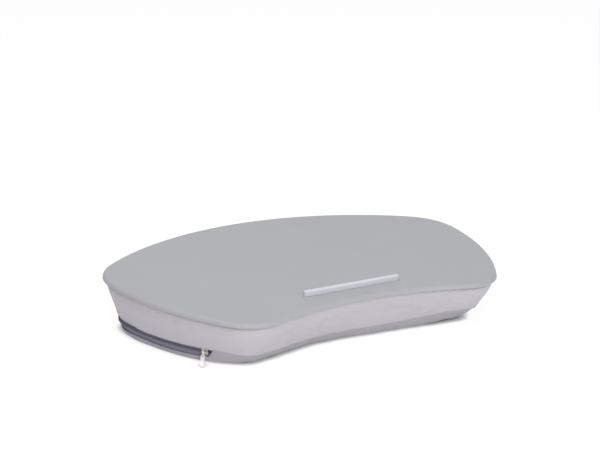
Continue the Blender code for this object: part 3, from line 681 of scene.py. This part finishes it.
def make_deck():
    """The cover's flat top under the board, a thin slab with softened edges."""
    inset = TOP_INSET + TUCK + SLOPED_FABRIC + GAP
    edge = FABRIC / 2
    turn = np.linspace(0.0, np.pi, 7)
    insets = inset + edge * (1.0 - np.sin(turn))
    depths = COVER_TOP + edge + edge * np.cos(turn)
    ring = POINTS[:, None] - insets[None, :, None] * NORMALS[:, None]
    height = plane_height(ring[..., 1], depths[None, :])
    points = np.concatenate([ring, height[..., None]], axis=-1)
    return block("cover_deck", points)


def make_foam():
    """Block of foam inside the cover: the cover's own section moved in, clear of the slider's inner wing."""
    behind = SLOPED_FABRIC + GAP + TAPE_THICKNESS + GAP
    back = ZIP_INSET + WING_FACE + WING + RUN_CLEARANCE
    mouth = SLIDER_MOUTH_HALF + RUN_CLEARANCE
    edge = POINTS - TOP_INSET * NORMALS
    top = plane_height(edge[:, 1], COVER_TOP + FABRIC + GAP)
    seam = SEAM_HEIGHT + SEAM_RISE
    rings = []
    for share in (0.14, 0.4, 0.7):
        height = np.maximum(share * seam, FABRIC + GAP)
        lifted = height + LIFT * (1.0 - height / seam)
        rings.append((np.maximum(base_inset(ROUND, height) + behind, back), lifted))
    for height in (ZIP_HEIGHT + mouth, SHOULDER_HEIGHT, 0.36, 0.58, 0.8, 0.94):
        level = np.full(COLUMNS, height)
        if height > 0.1:
            level = SHOULDER_HEIGHT + (top - SHOULDER_HEIGHT) * height
        inset = side_inset(ROUND, level, top + 1.0 * MM) + behind
        rings.append((np.maximum(inset, back) if height < SHOULDER_HEIGHT else inset, level))
    last = rings[-1][0]
    rings += [(last + TUCK + 0.8 * MM, top), (last + TUCK + 3.0 * MM, top)]
    rings.insert(0, (rings[0][0] + 3.0 * MM, rings[0][1]))
    return block("foam_block", np.stack([cushion_points(POINTS, NORMALS, *ring) for ring in rings], axis=1))


# Zip

TAPE_AHEAD = 9.0 * MM
COIL_PITCH = 1.6 * MM
COIL_STEPS = 10
COIL_SIDES = 6
COIL_RADIUS = 0.3 * MM
COIL_START = 0.5 * MM
COIL_SWAY = 0.18
COIL_MIDDLE, COIL_REACH = 0.95 * MM, 1.45 * MM
COIL_DEPTH, COIL_FLATNESS = 0.6 * MM, 0.34 * MM
STOP_FACE, STOP_CROWN, STOP_FOOT = 0.75, 0.45, 1.2


def make_tape(name, side):
    """Woven tape: one section along the zip's path, from its hem behind the cover to beside the teeth."""
    travel = np.linspace(-TAPE_AHEAD, ZIP_LENGTH, 160)[:, None]
    length = left_length(heading_at(travel))
    drop = field_at(SLOT_DROP, length)
    slot = SLOT_ABOVE + field_at(SLOT_STRETCH, length) if side > 0 else SLOT_BELOW + drop
    tuck = TAPE_TUCK if side > 0 else TAPE_TUCK - drop / 2
    section = []
    for reach in (slot + tuck, slot + tuck / 2, slot - FABRIC / 2):
        height = ZIP_HEIGHT + side * reach
        outer = side_inset(length, height, TOP_HEIGHT) if side > 0 else base_inset(length, height)
        section.append((side * reach, outer + SLOPED_FABRIC + GAP - ZIP_INSET + field_at(ZIP_OUT, length)))
    section += [(side * reach + 0.0 * length, TAPE_FACE + 0.0 * length) for reach in
                (SLIDER_MOUTH_HALF, (SLIDER_MOUTH_HALF + TAPE_GAP_HALF) / 2, TAPE_GAP_HALF)]
    section += [(rise, depth + TAPE_THICKNESS) for rise, depth in section[::-1]]
    rise = np.concatenate([row[0] for row in section], axis=1)
    depth = np.concatenate([row[1] for row in section], axis=1)
    points = zip_points(travel, depth, rise)
    spread = np.cumsum(np.linalg.norm(np.diff(points, axis=1, prepend=points[:, :1]), axis=-1), axis=1)
    uv = np.stack([travel + 0.0 * spread, spread], axis=-1)
    return sharp_by_angle(sweep(name, points, uv), 60.0)


def make_coil(name, side, offset):
    """Nylon coil: a flattened helix along the zip, its loops reaching past the centre line to interlock."""
    start = GAP + STOP_LENGTH + GAP + POST_LENGTH + GAP + COIL_START
    end = ZIP_LENGTH - GAP - STOP_LENGTH - COIL_PITCH
    turns = int((end - start) / COIL_PITCH)
    phase = np.arange(turns * COIL_STEPS + 1) / COIL_STEPS
    angle = 2 * np.pi * phase
    travel = start + (phase + offset) * COIL_PITCH + COIL_SWAY * COIL_PITCH * np.sin(2 * angle)
    rise = side * (COIL_MIDDLE - COIL_REACH * np.cos(angle))
    depth = COIL_DEPTH - COIL_FLATNESS * np.sin(angle)
    centre = zip_points(travel, depth, rise)
    forward = np.gradient(centre, axis=0)
    forward /= np.linalg.norm(forward, axis=-1, keepdims=True)
    out = zip_points(travel, depth - 1.0 * MM, rise) - centre
    across = np.cross(forward, out)
    across /= np.linalg.norm(across, axis=-1, keepdims=True)
    up = np.cross(across, forward)
    turn = 2 * np.pi * np.arange(COIL_SIDES) / COIL_SIDES
    rings = (centre[:, None] + COIL_RADIUS * (np.cos(turn)[None, :, None] * across[:, None]
                                               + np.sin(turn)[None, :, None] * up[:, None]))
    return sweep(name, rings)


def make_stop(name, side, start, wide):
    """Metal stop bent round the tape's edge, a rounded clip on the outer face with a leg behind."""
    travel = np.linspace(start, start + STOP_LENGTH, 5)
    half = SLIDER_TAIL_HALF * 0.75
    near, crown = (-half, -half * 0.9) if wide else (0.6 * MM, 0.8 * MM)
    rises = side * np.array([near, crown, half * 0.9, half, half, near])
    depths = np.array([STOP_FACE, STOP_CROWN, STOP_CROWN, STOP_FACE, STOP_FOOT, STOP_FOOT]) * MM
    section = np.stack([rises, depths], axis=-1)
    ease = np.array([0.8, 1.0, 1.0, 1.0, 0.8])[:, None]
    middle = section[:, 0].mean()
    rise = middle + (section[None, :, 0] - middle) * ease
    points = zip_points(travel[:, None], section[None, :, 1] + 0.0 * rise, rise)
    return sharp_by_angle(sweep(name, points), 50.0)


def slider_frame():
    """Matrix of the slider: X forward along the zip, Y into the desk, Z up, on the teeth's outer face."""
    points, normals = left_stations(np.array([SLIDER_HEADING]))
    place = cushion_points(points, normals, np.array([ZIP_INSET]), np.array([ZIP_HEIGHT]))[0]
    turn = np.arctan2(-normals[0, 1], -normals[0, 0]) - np.pi / 2
    return Matrix.Translation(place.tolist()) @ Matrix.Rotation(turn, 4, "Z")


def smooth_outline(corners, rounds, steps=5):
    """Points and outward normals of a clockwise polygon, its corners rounded by arcs cut from its sides."""
    corners = np.array(corners, dtype=float)
    rounds = np.broadcast_to(np.array(rounds, dtype=float), len(corners))
    points = []
    for k, corner in enumerate(corners):
        before = corners[k - 1] - corner
        after = corners[(k + 1) % len(corners)] - corner
        reach = min(rounds[k], 0.49 * np.linalg.norm(before), 0.49 * np.linalg.norm(after))
        first = corner + before / np.linalg.norm(before) * reach
        last = corner + after / np.linalg.norm(after) * reach
        share = np.linspace(0.0, 1.0, steps)[:, None]
        points.append((1 - share) ** 2 * first + 2 * share * (1 - share) * corner + share ** 2 * last)
    points = np.concatenate(points)
    side = np.roll(points, -1, axis=0) - np.roll(points, 1, axis=0)
    normals = np.stack([-side[:, 1], side[:, 0]], axis=-1)
    return points, normals / np.linalg.norm(normals, axis=-1, keepdims=True)


def plate(name, corners, rounds, low, high, edge, steps=5):
    """Plate with a rounded outline between two heights, its edges eased by quarter circles."""
    points, normals = smooth_outline(corners, rounds, steps)
    turn = np.linspace(0.0, np.pi / 2, 4)
    insets = np.concatenate([edge * (1.0 - np.sin(turn)), edge * (1.0 - np.cos(turn))])
    heights = np.concatenate([low + edge * (1.0 - np.cos(turn)), high - edge * (1.0 - np.sin(turn))])
    return block(name, ringed(points, normals, insets, heights))


def wire(name, points, square, radius, sides=10, closed=False):
    """Round wire along points in a plane; square is the plane's normal."""
    points = np.array(points, dtype=float)
    forward = np.gradient(points, axis=0)
    if closed:
        forward = np.roll(points, -1, axis=0) - np.roll(points, 1, axis=0)
    forward /= np.linalg.norm(forward, axis=-1, keepdims=True)
    square = np.array(square, dtype=float)
    rise = np.cross(square, forward)
    turn = 2 * np.pi * np.arange(sides) / sides
    rings = points[:, None] + radius * (np.cos(turn)[None, :, None] * square
                                        + np.sin(turn)[None, :, None] * rise[:, None])
    return sweep(name, rings, closed_path=closed)


def make_slider():
    """Slider: a crowned outer wing, a flat inner wing, flanges at the tail, the post and the bail."""
    half, mouth, tail, corner = SLIDER_LENGTH / 2, SLIDER_MOUTH_HALF, SLIDER_TAIL_HALF, SLIDER_CHAMFER
    upper = [(-half, tail), (half - tail, tail), (half - corner, mouth), (half, mouth - corner)]
    shield = [(-half, -tail), *upper, *[(x, -z) for x, z in upper[:0:-1]]]
    rounds = np.array([1.2, 1.2, 0.8, 0.6, 0.6, 0.6, 0.6, 0.8]) * MM
    upright = Matrix.Rotation(np.radians(90.0), 4, "X")
    front = RUN_CLEARANCE
    outer = plate("slider_body", shield, rounds, front, front + WING, 0.38 * MM)
    inner = plate("wing", shield, rounds, -WING_FACE - WING, -WING_FACE, 0.3 * MM)
    others = [inner]
    for side in (-1, 1):
        z = side * (tail - FLANGE / 2 - 0.04 * MM)
        rear, ahead = -half + 0.3 * MM, half - tail
        low, high = z - FLANGE / 2, z + FLANGE / 2
        box = [(rear, low), (rear, high), (ahead, high), (ahead, low)]
        others.append(plate("flange", box, 0.2 * MM, -TAPE_FACE + RUN_CLEARANCE, front + WING / 2, 0.1 * MM))
    diamond = [(half - POST_LENGTH, 0.0), (half - POST_LENGTH / 2, POST_HALF), (half - GAP, 0.0),
               (half - POST_LENGTH / 2, -POST_HALF)]
    others.append(plate("post", diamond, 0.3 * MM, -WING_FACE - WING / 2, front + WING / 2, 0.05 * MM))
    combined(outer, others, "UNION")
    root, rod = front + WING / 2, front + WING + BAIL_REACH
    turn = np.linspace(0.0, np.pi / 2, 7)
    bend = BAIL_BEND
    right = [(BAIL_HALF - bend + bend * np.cos(t), 0.0, rod - bend + bend * np.sin(t)) for t in turn]
    bow = [(BAIL_HALF, 0.0, root), *right, *[(-x, y, z) for x, y, z in right[::-1]], (-BAIL_HALF, 0.0, root)]
    combined(outer, [wire("bail", bow, (0, 1, 0), BAIL_WIRE)], "UNION")
    outer.data.transform(slider_frame() @ upright)
    return sharp_by_angle(outer, 45.0)


def pull_frame():
    """Matrix of the puller: origin on the bail's rod, X along the rod, Y out along the blade to its tip."""
    rod = -RUN_CLEARANCE - WING - BAIL_REACH
    drop = np.arcsin((ZIP_HEIGHT - GAP - PULL_THICKNESS / 2) / PULL_LENGTH)
    place = slider_frame() @ Matrix.Translation((0.0, rod, 0.0))
    return place @ Matrix.Rotation(PULL_SLEW + np.pi, 4, "Z") @ Matrix.Rotation(-drop, 4, "X")


def make_puller():
    """Puller: an eye round the bail, a neck, and a blade with a hole, a dimple and eased edges."""
    half, neck = PULL_WIDTH / 2, NECK_WIDTH / 2
    shoulder = EYE_RADIUS + NECK_LENGTH
    tip = PULL_LENGTH - half
    turn = np.pi * np.arange(0, 9) / 8
    arc = [(-half * np.cos(t), tip + half * np.sin(t)) for t in turn]
    corners = [(-neck, EYE_RADIUS), (-neck, shoulder - neck), (-half, shoulder), *arc, (half, shoulder),
               (neck, shoulder - neck), (neck, EYE_RADIUS)]
    thick = PULL_THICKNESS / 2
    blade = plate("puller_blade", corners, 0.6 * MM, -thick, thick, 0.35 * MM, steps=4)
    circle = np.linspace(0.0, 2 * np.pi, 24, endpoint=False)
    eye = [(0.0, EYE_RADIUS * np.cos(t), EYE_RADIUS * np.sin(t)) for t in circle]
    combined(blade, [wire("eye", eye, (1, 0, 0), EYE_WIRE, closed=True)], "UNION")
    normal = np.stack([np.sin(circle + 0.05), np.cos(circle + 0.05)], axis=-1)
    cup_insets = np.array([1.1, 0.8, 0.6, 0.45, 0.2]) * MM
    cup_heights = thick + np.array([-0.3, -0.25, -0.14, 0.03, 0.6]) * MM
    cup = ringed(np.array([0.0, tip - 2.3 * MM]) + 1.5 * MM * normal, normal, cup_insets, cup_heights)
    hole = ringed(np.array([0.0, shoulder + PULL_HOLE_RADIUS]) + PULL_HOLE_RADIUS * normal, normal,
                  np.zeros(2), np.array([-3 * thick, 3 * thick]))
    combined(blade, [block("cup", cup), block("hole", hole)], "DIFFERENCE")
    blade.data.transform(pull_frame())
    return sharp_by_angle(blade, 40.0)


# Stitches

def stitch_line(name, line, out, length=2.6 * MM, spacing=3.3 * MM, radius=0.24 * MM):
    """Row of thread stitches on a line: each is a short bent capsule that rises out of the cloth and back."""
    step = np.linalg.norm(np.diff(line, axis=0), axis=-1)
    run = np.concatenate([[0.0], np.cumsum(step)])
    count = int(run[-1] / spacing)
    sides, rows = 5, 6
    t = np.linspace(0.0, 1.0, rows)
    place = (np.arange(count)[:, None] * spacing + t[None, :] * length).ravel()

    def at(where, values):
        return np.stack([np.interp(where, run, values[:, k]) for k in range(3)], axis=-1)

    centre = at(place, line)
    up = at(place, out)
    up /= np.linalg.norm(up, axis=-1, keepdims=True)
    forward = at(place + 0.2 * MM, line) - at(place - 0.2 * MM, line)
    forward /= np.linalg.norm(forward, axis=-1, keepdims=True) + 1e-12
    across = np.cross(forward, up)
    bow = np.tile(np.sin(np.pi * t), count)[:, None]
    thick = np.tile(np.sqrt(np.clip(1.0 - (2 * t - 1) ** 4, 0.02, 1.0)), count)[:, None, None]
    centre = centre + up * (radius * 0.9 * bow - radius * 0.35)
    turn = 2 * np.pi * np.arange(sides) / sides
    rings = centre[:, None] + radius * thick * (np.cos(turn)[None, :, None] * across[:, None]
                                                + np.sin(turn)[None, :, None] * up[:, None])
    base = np.array(grid_faces(rows, sides, closed_v=True))
    faces = (base[None] + (np.arange(count) * rows * sides)[:, None, None]).reshape(-1, 4).tolist()
    for k in range(count):
        first = k * rows * sides
        faces.append(list(range(first, first + sides)))
        faces.append(list(range(first + rows * sides - 1, first + (rows - 1) * sides - 1, -1)))
    return turned_out(finish_mesh(name, rings, faces))


def line_on(points, distance, first, last):
    """Line on a grid at a distance up from its first row, between two lengths round the outline."""
    run = run_across(points)
    row = np.clip((run < distance).sum(axis=1) - 1, 0, points.shape[1] - 2)
    column = np.arange(len(points))
    share = (distance - run[column, row]) / (run[column, row + 1] - run[column, row])
    line = points[column, row] + share[:, None] * (points[column, row + 1] - points[column, row])
    normal = outward(points)[column, row]
    wanted = (ROUND >= first) & (ROUND <= last)
    return line[wanted], normal[wanted]


# Materials

def set_inputs(tree, node, inputs):
    """Sets each input, by name or number, to a value, or links it to a socket."""
    for key, value in inputs.items():
        if isinstance(value, bpy.types.NodeSocket):
            tree.links.new(value, node.inputs[key])
        else:
            node.inputs[key].default_value = value


def add_node(tree, kind, inputs):
    node = tree.nodes.new(f"ShaderNode{kind}")
    set_inputs(tree, node, inputs)
    return node


def math_node(tree, operation, *values):
    """Math node whose inputs are numbers or sockets; returns its output."""
    node = tree.nodes.new("ShaderNodeMath")
    node.operation = operation
    set_inputs(tree, node, dict(enumerate(values)))
    return node.outputs[0]


def weighted(tree, first, first_share, second, second_share):
    """Sum of two sockets, each times its share."""
    return math_node(tree, "ADD", math_node(tree, "MULTIPLY", first, first_share),
                     math_node(tree, "MULTIPLY", second, second_share))


def noise(tree, vector, scale, detail=2.0):
    return add_node(tree, "TexNoise", {"Vector": vector, "Scale": scale, "Detail": detail}).outputs["Fac"]


def node_group(name, outputs, **numbers):
    """Shader group with a vector and these numbers as inputs; returns it with its two end nodes."""
    group = bpy.data.node_groups.new(name, "ShaderNodeTree")
    group.interface.new_socket(name="Vector", in_out="INPUT", socket_type="NodeSocketVector")
    for label, value in numbers.items():
        socket = group.interface.new_socket(name=label, in_out="INPUT", socket_type="NodeSocketFloat")
        socket.default_value = value
    for label in outputs:
        group.interface.new_socket(name=label, in_out="OUTPUT", socket_type="NodeSocketFloat")
    return group, group.nodes.new("NodeGroupInput").outputs, group.nodes.new("NodeGroupOutput")


def mottle_group():
    """Slow and fine noise mixed by the balance, for tone that wanders over a surface."""
    group, given, end = node_group("mottle", ["Tone"], Scale=20.0, Fine=900.0, Balance=0.5)
    slow = noise(group, given["Vector"], given["Scale"], 3.0)
    fine = noise(group, given["Vector"], given["Fine"], 1.0)
    rest = math_node(group, "SUBTRACT", 1.0, given["Balance"])
    set_inputs(group, end, {"Tone": weighted(group, slow, rest, fine, given["Balance"])})
    return group


def weave_group():
    """Plain weave on a UV map in metres: warp and weft, sines of u and v, show where the other dips."""
    group, given, end = node_group("weave", ["Height", "Tone"], Threads=1500.0, Wander=0.3)
    split = add_node(group, "SeparateXYZ", {0: given["Vector"]})
    sway = math_node(group, "MULTIPLY", noise(group, given["Vector"], 160.0), given["Wander"])
    turns = math_node(group, "MULTIPLY", given["Threads"], 2 * np.pi)
    phases = [weighted(group, split.outputs[axis], turns, sway, 6.0) for axis in (0, 1)]
    cross = math_node(group, "MULTIPLY", *[math_node(group, "SINE", phase) for phase in phases])
    cloth = math_node(group, "ADD", math_node(group, "MULTIPLY", cross, 0.5), 0.5)
    height = weighted(group, cloth, 0.65, noise(group, given["Vector"], 2600.0), 0.35)
    tone = weighted(group, height, 0.4, noise(group, given["Vector"], 330.0, 3.0), 0.6)
    set_inputs(group, end, {"Height": height, "Tone": tone})
    return group


def grain_group():
    """Moulded grain: rounded cells, as the smooth distance to scattered points, with noise between them."""
    group, given, end = node_group("moulded_grain", ["Height"], Scale=1400.0)
    cells = group.nodes.new("ShaderNodeTexVoronoi")
    cells.feature = "SMOOTH_F1"
    set_inputs(group, cells, {"Vector": given["Vector"], "Scale": given["Scale"]})
    fine = noise(group, given["Vector"], given["Scale"])
    set_inputs(group, end, {"Height": weighted(group, cells.outputs["Distance"], 0.6, fine, 0.4)})
    return group


MOTTLE = mottle_group()
WEAVE = weave_group()
GRAIN = grain_group()


def group_node(tree, group, **values):
    node = tree.nodes.new("ShaderNodeGroup")
    node.node_tree = group
    set_inputs(tree, node, values)
    return node


def finish(name, colour, spread, rough, bump, metallic=0.0, specular=0.5, sheen=0.0, by_uv=False,
           grain=1400.0, threads=0.0, wander=0.3, mottle=18.0, balance=0.5):
    """Material whose tone lies a share either side of a colour, between two roughnesses.

    Its relief, with a strength and a depth, is a weave of threads per metre, or a grain.
    """
    made = bpy.data.materials.new(name)
    made.use_nodes = True
    tree = made.node_tree
    place = tree.nodes.new("ShaderNodeTexCoord")
    vector = place.outputs["Object"]
    tone = group_node(tree, MOTTLE, Vector=vector, Scale=mottle, Balance=balance).outputs["Tone"]
    if threads:
        surface = place.outputs["UV"] if by_uv else vector
        relief = group_node(tree, WEAVE, Vector=surface, Threads=threads, Wander=wander)
        height = relief.outputs["Height"]
        tone = weighted(tree, tone, 0.5, relief.outputs["Tone"], 0.5)
    else:
        height = group_node(tree, GRAIN, Vector=vector, Scale=grain).outputs["Height"]
    share = add_node(tree, "MapRange", {"From Min": 0.3, "From Max": 0.7, "Value": tone})
    mix = tree.nodes.new("ShaderNodeMix")
    mix.data_type = "RGBA"
    dark, light = ((*(c * (1.0 + side * spread) for c in colour), 1.0) for side in (-1, 1))
    set_inputs(tree, mix, {"A": dark, "B": light, "Factor": share.outputs["Result"]})
    gloss = add_node(tree, "MapRange", {"To Min": rough[0], "To Max": rough[1], "Value": height})
    bumps = add_node(tree, "Bump", {"Strength": bump[0], "Distance": bump[1], "Height": height})
    set_inputs(tree, tree.nodes["Principled BSDF"], {
        "Metallic": metallic, "Specular IOR Level": specular, "Sheen Weight": sheen, "Sheen Roughness": 0.5,
        "Base Color": mix.outputs["Result"], "Roughness": gloss.outputs["Result"],
        "Normal": bumps.outputs["Normal"]})
    return made


def make_finishes():
    cloth = dict(rough=(0.82, 0.96), bump=(0.5, 0.00018), sheen=0.06, specular=0.2, by_uv=True,
                 threads=1100.0, mottle=30.0)
    tape = dict(rough=(0.75, 0.92), bump=(0.7, 0.0002), by_uv=True, threads=900.0, wander=0.1, mottle=60.0)
    metal = dict(metallic=1.0, grain=2200.0)
    return {
        "board": finish("satin_board_plastic", (0.345, 0.349, 0.366), 0.03, (0.48, 0.6), (0.25, 0.00006),
                        grain=1500.0, mottle=14.0, balance=0.55),
        "bar": finish("smooth_bar_plastic", (0.56, 0.58, 0.62), 0.02, (0.3, 0.4), (0.1, 0.00004),
                      grain=900.0),
        "cover": finish("brushed_cover_cloth", (0.437, 0.413, 0.45), 0.045, **cloth),
        # The base is the cover's own cloth, given a darker colour: painted shade for the bottom that turns
        # under.
        "base": finish("brushed_base_cloth_painted_shade", (0.342, 0.327, 0.36), 0.045, **cloth),
        "thread": finish("sewing_thread", (0.50, 0.475, 0.53), 0.05, (0.6, 0.8), (0.3, 0.00005),
                         grain=3000.0),
        # The upper tape is the lower tape's cloth painted lighter: painted light on the upper half of the
        # zip.
        "upper_tape": finish("woven_upper_tape_painted_lighter", (0.46, 0.45, 0.52), 0.12, **tape),
        "tape": finish("woven_zip_tape", (0.2, 0.195, 0.25), 0.12, **tape),
        "teeth": finish("nylon_coil", (0.115, 0.12, 0.16), 0.08, (0.35, 0.5), (0.1, 0.00003), grain=2500.0),
        "nickel": finish("nickel_plate", (0.74, 0.71, 0.66), 0.05, (0.16, 0.32), (0.08, 0.00002), **metal),
        # The slider is a darker copy of the nickel plate.
        "slider": finish("darker_nickel_slider", (0.5, 0.465, 0.42), 0.1, (0.24, 0.4), (0.08, 0.00002),
                         **metal),
        # The top stops are nickel, coloured near black: painted shade for the dark notch they sit in.
        "painted": finish("stop_dark_as_painted_shade", (0.05, 0.05, 0.065), 0.1, (0.4, 0.55), (0.08, 0.00002),
                          grain=2200.0),
        # The puller is a lighter copy of the nickel plate, near white: painted light.
        "puller": finish("satin_nickel_puller_painted_light", (0.93, 0.91, 0.88), 0.03, (0.42, 0.56), (0.05, 0.00002),
                         **metal),
        "foam": finish("open_cell_foam", (0.72, 0.71, 0.66), 0.06, (0.9, 1.0), (0.8, 0.0005), grain=700.0,
                       specular=0.2),
        "hook": finish("hook_tape", (0.30, 0.30, 0.33), 0.1, (0.5, 0.8), (0.9, 0.0006), threads=600.0,
                       wander=0.0),
        "loop": finish("loop_tape", (0.42, 0.41, 0.45), 0.08, (0.85, 1.0), (0.9, 0.0005), grain=900.0,
                       sheen=0.4, specular=0.2),
    }


# Assembly

FINISHES = make_finishes()


def dress(item, slot, body, *nodes, material=None):
    """Gives a piece its finish, its body and the frame's nodes that it stands for."""
    item.data.materials.clear()
    item.data.materials.append(FINISHES[material or slot])
    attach(item, body)
    if nodes:
        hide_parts(*nodes)
    return item


def build():
    dress(make_board(), "board", "desk", "top_board")
    dress(make_bar(), "bar", "desk", "stop_bar")
    side, side_points = make_side()
    dress(side, "cover", "desk", "cover_boxing")
    base, base_points = make_base()
    dress(base, "base", "desk", "cover_bottom_panel")
    dress(make_deck(), "cover", "desk", "cover_top_panel")
    dress(make_foam(), "foam", "desk", "foam_core")
    for name, sign in (("upper", 1), ("lower", -1)):
        # The upper tape takes the copy that is painted lighter, as painted light.
        dress(make_tape(f"tape_{name}", sign), "tape", "desk", f"zip_tape_{name}",
              material="upper_tape" if sign > 0 else "tape")
        dress(make_coil(f"coil_{name}", sign, 0.0 if sign > 0 else 0.5), "teeth", "desk", f"zip_coil_{name}")
        # Its top stops take the near-black finish, painted shade.
        dress(make_stop(f"top_stop_{name}", sign, GAP, False), "nickel", "desk", f"zip_top_stop_{name}",
              material="painted")
    last_stop = make_stop("bottom_stop", 1, ZIP_LENGTH - GAP - STOP_LENGTH, True)
    dress(last_stop, "nickel", "desk", "zip_bottom_stop")
    # The slider takes a darker copy of the nickel, the puller a lighter one that is painted light.
    dress(make_slider(), "nickel", "slider", "zip_slider", material="slider")
    dress(make_puller(), "nickel", "puller", "zip_puller", material="puller")
    first = float(left_length(ZIP_FRONT + FRONT_WIDTH))
    last = float(left_length(ZIP_REAR - REAR_WIDTH))
    for name, points in (("upper", side_points), ("lower", base_points[:, ::-1])):
        line, out = line_on(points, STITCH_SETBACK, first, last)
        if name == "lower":
            out = -out
        dress(stitch_line(f"zip_stitches_{name}", line, out), "cover", "desk", material="thread")
    for name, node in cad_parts.items():
        if "strip" in name:
            node.data.materials.clear()
            node.data.materials.append(FINISHES["hook" if name.startswith("hook") else "loop"])


# Stage

FLOOR_SIZE = 8.0
FLOOR_COLOUR = (0.85, 0.85, 0.86, 1.0)
SEEN_FLOOR_COLOUR = (0.15, 0.15, 0.15, 1.0)
FLOOR_GLOW = 0.9
CONTACT_REACH = 9.0 * MM
WHITE = (1.0, 1.0, 1.0, 1.0)
SKY = 0.4
BOUNCE = 0.4
AZIMUTH, ELEVATION = np.radians(-31.08), np.radians(15.35)
CAMERA_PLACE = (-1.21094, -1.99980, 0.75778)
SENSOR, LENS = 36.0, 112.85


def looked_at(tree):
    """1 for camera, glossy and transmission rays, otherwise 0."""
    path = tree.nodes.new("ShaderNodeLightPath").outputs
    total = math_node(tree, "MAXIMUM", path["Is Camera Ray"], path["Is Glossy Ray"])
    return math_node(tree, "MAXIMUM", total, path["Is Transmission Ray"])


def by_ray(tree, kind, socket, plain, looked):
    """Joins one shader for rays that look and another for the rest to the output of this kind."""
    mix = add_node(tree, "MixShader", {"Fac": looked_at(tree), 1: plain.outputs[0], 2: looked.outputs[0]})
    add_node(tree, kind, {socket: mix.outputs[0]})


def make_floor():
    """Pale floor. To the camera and to reflections it is white but for the shade where the desk stands."""
    corners = FLOOR_SIZE * np.array([(-1.0, -1.0, 0.0), (1.0, -1.0, 0.0), (1.0, 1.0, 0.0), (-1.0, 1.0, 0.0)])
    floor = finish_mesh("floor", corners, [[0, 1, 2, 3]], smooth=False)
    made = bpy.data.materials.new("pale_floor")
    made.use_nodes = True
    tree = made.node_tree
    tree.nodes.clear()
    plain = add_node(tree, "BsdfDiffuse", {"Color": FLOOR_COLOUR})
    bounce = add_node(tree, "Emission", {"Strength": BOUNCE})
    lit = add_node(tree, "AddShader", {0: plain.outputs[0], 1: bounce.outputs[0]})
    seen = add_node(tree, "BsdfDiffuse", {"Color": SEEN_FLOOR_COLOUR})
    near = add_node(tree, "AmbientOcclusion", {"Distance": CONTACT_REACH})
    light = math_node(tree, "MULTIPLY", near.outputs["AO"], FLOOR_GLOW)
    glow = add_node(tree, "Emission", {"Strength": light})
    shaded = add_node(tree, "AddShader", {0: seen.outputs[0], 1: glow.outputs[0]})
    by_ray(tree, "OutputMaterial", "Surface", lit, shaded)
    floor.data.materials.append(made)


def make_world():
    """White to the camera and to reflections, and a softer even light for the rest."""
    world = bpy.data.worlds.new("studio")
    bpy.context.scene.world = world
    world.use_nodes = True
    tree = world.node_tree
    tree.nodes.clear()
    light = add_node(tree, "Background", {"Color": WHITE, "Strength": SKY})
    white = add_node(tree, "Background", {"Color": WHITE})
    by_ray(tree, "OutputWorld", "Surface", light, white)


def placed(name, data, place, back):
    """Object of a lamp or a camera at a place, its back turned to a direction."""
    item = bpy.data.objects.new(name, data)
    bpy.context.scene.collection.objects.link(item)
    item.location = place
    item.rotation_mode = "QUATERNION"
    item.rotation_quaternion = Vector(back).to_track_quat("Z", "Y")
    return item


def make_lamp(name, place, size, energy):
    """Soft square lamp that faces the desk."""
    data = bpy.data.lights.new(name, "AREA")
    data.shape = "SQUARE"
    data.size = size
    data.energy = energy
    placed(name, data, place, place)


def make_camera():
    """Camera at the photograph's viewing angle, worked out from the known size of what the board carries."""
    level = np.cos(ELEVATION)
    back = (np.sin(AZIMUTH) * level, -np.cos(AZIMUTH) * level, np.sin(ELEVATION))
    data = bpy.data.cameras.new("camera")
    data.sensor_width = SENSOR
    data.lens = LENS
    data.clip_start = 0.1
    data.clip_end = 50.0
    bpy.context.scene.camera = placed("camera", data, CAMERA_PLACE, back)


build()
make_floor()
make_world()
make_lamp("key", (-0.62, -2.42, 1.15), 1.2, 35.0)
make_lamp("top", (-0.2, 0.2, 2.4), 2.0, 33.0)
make_camera()
bpy.context.scene.view_settings.view_transform = "Standard"
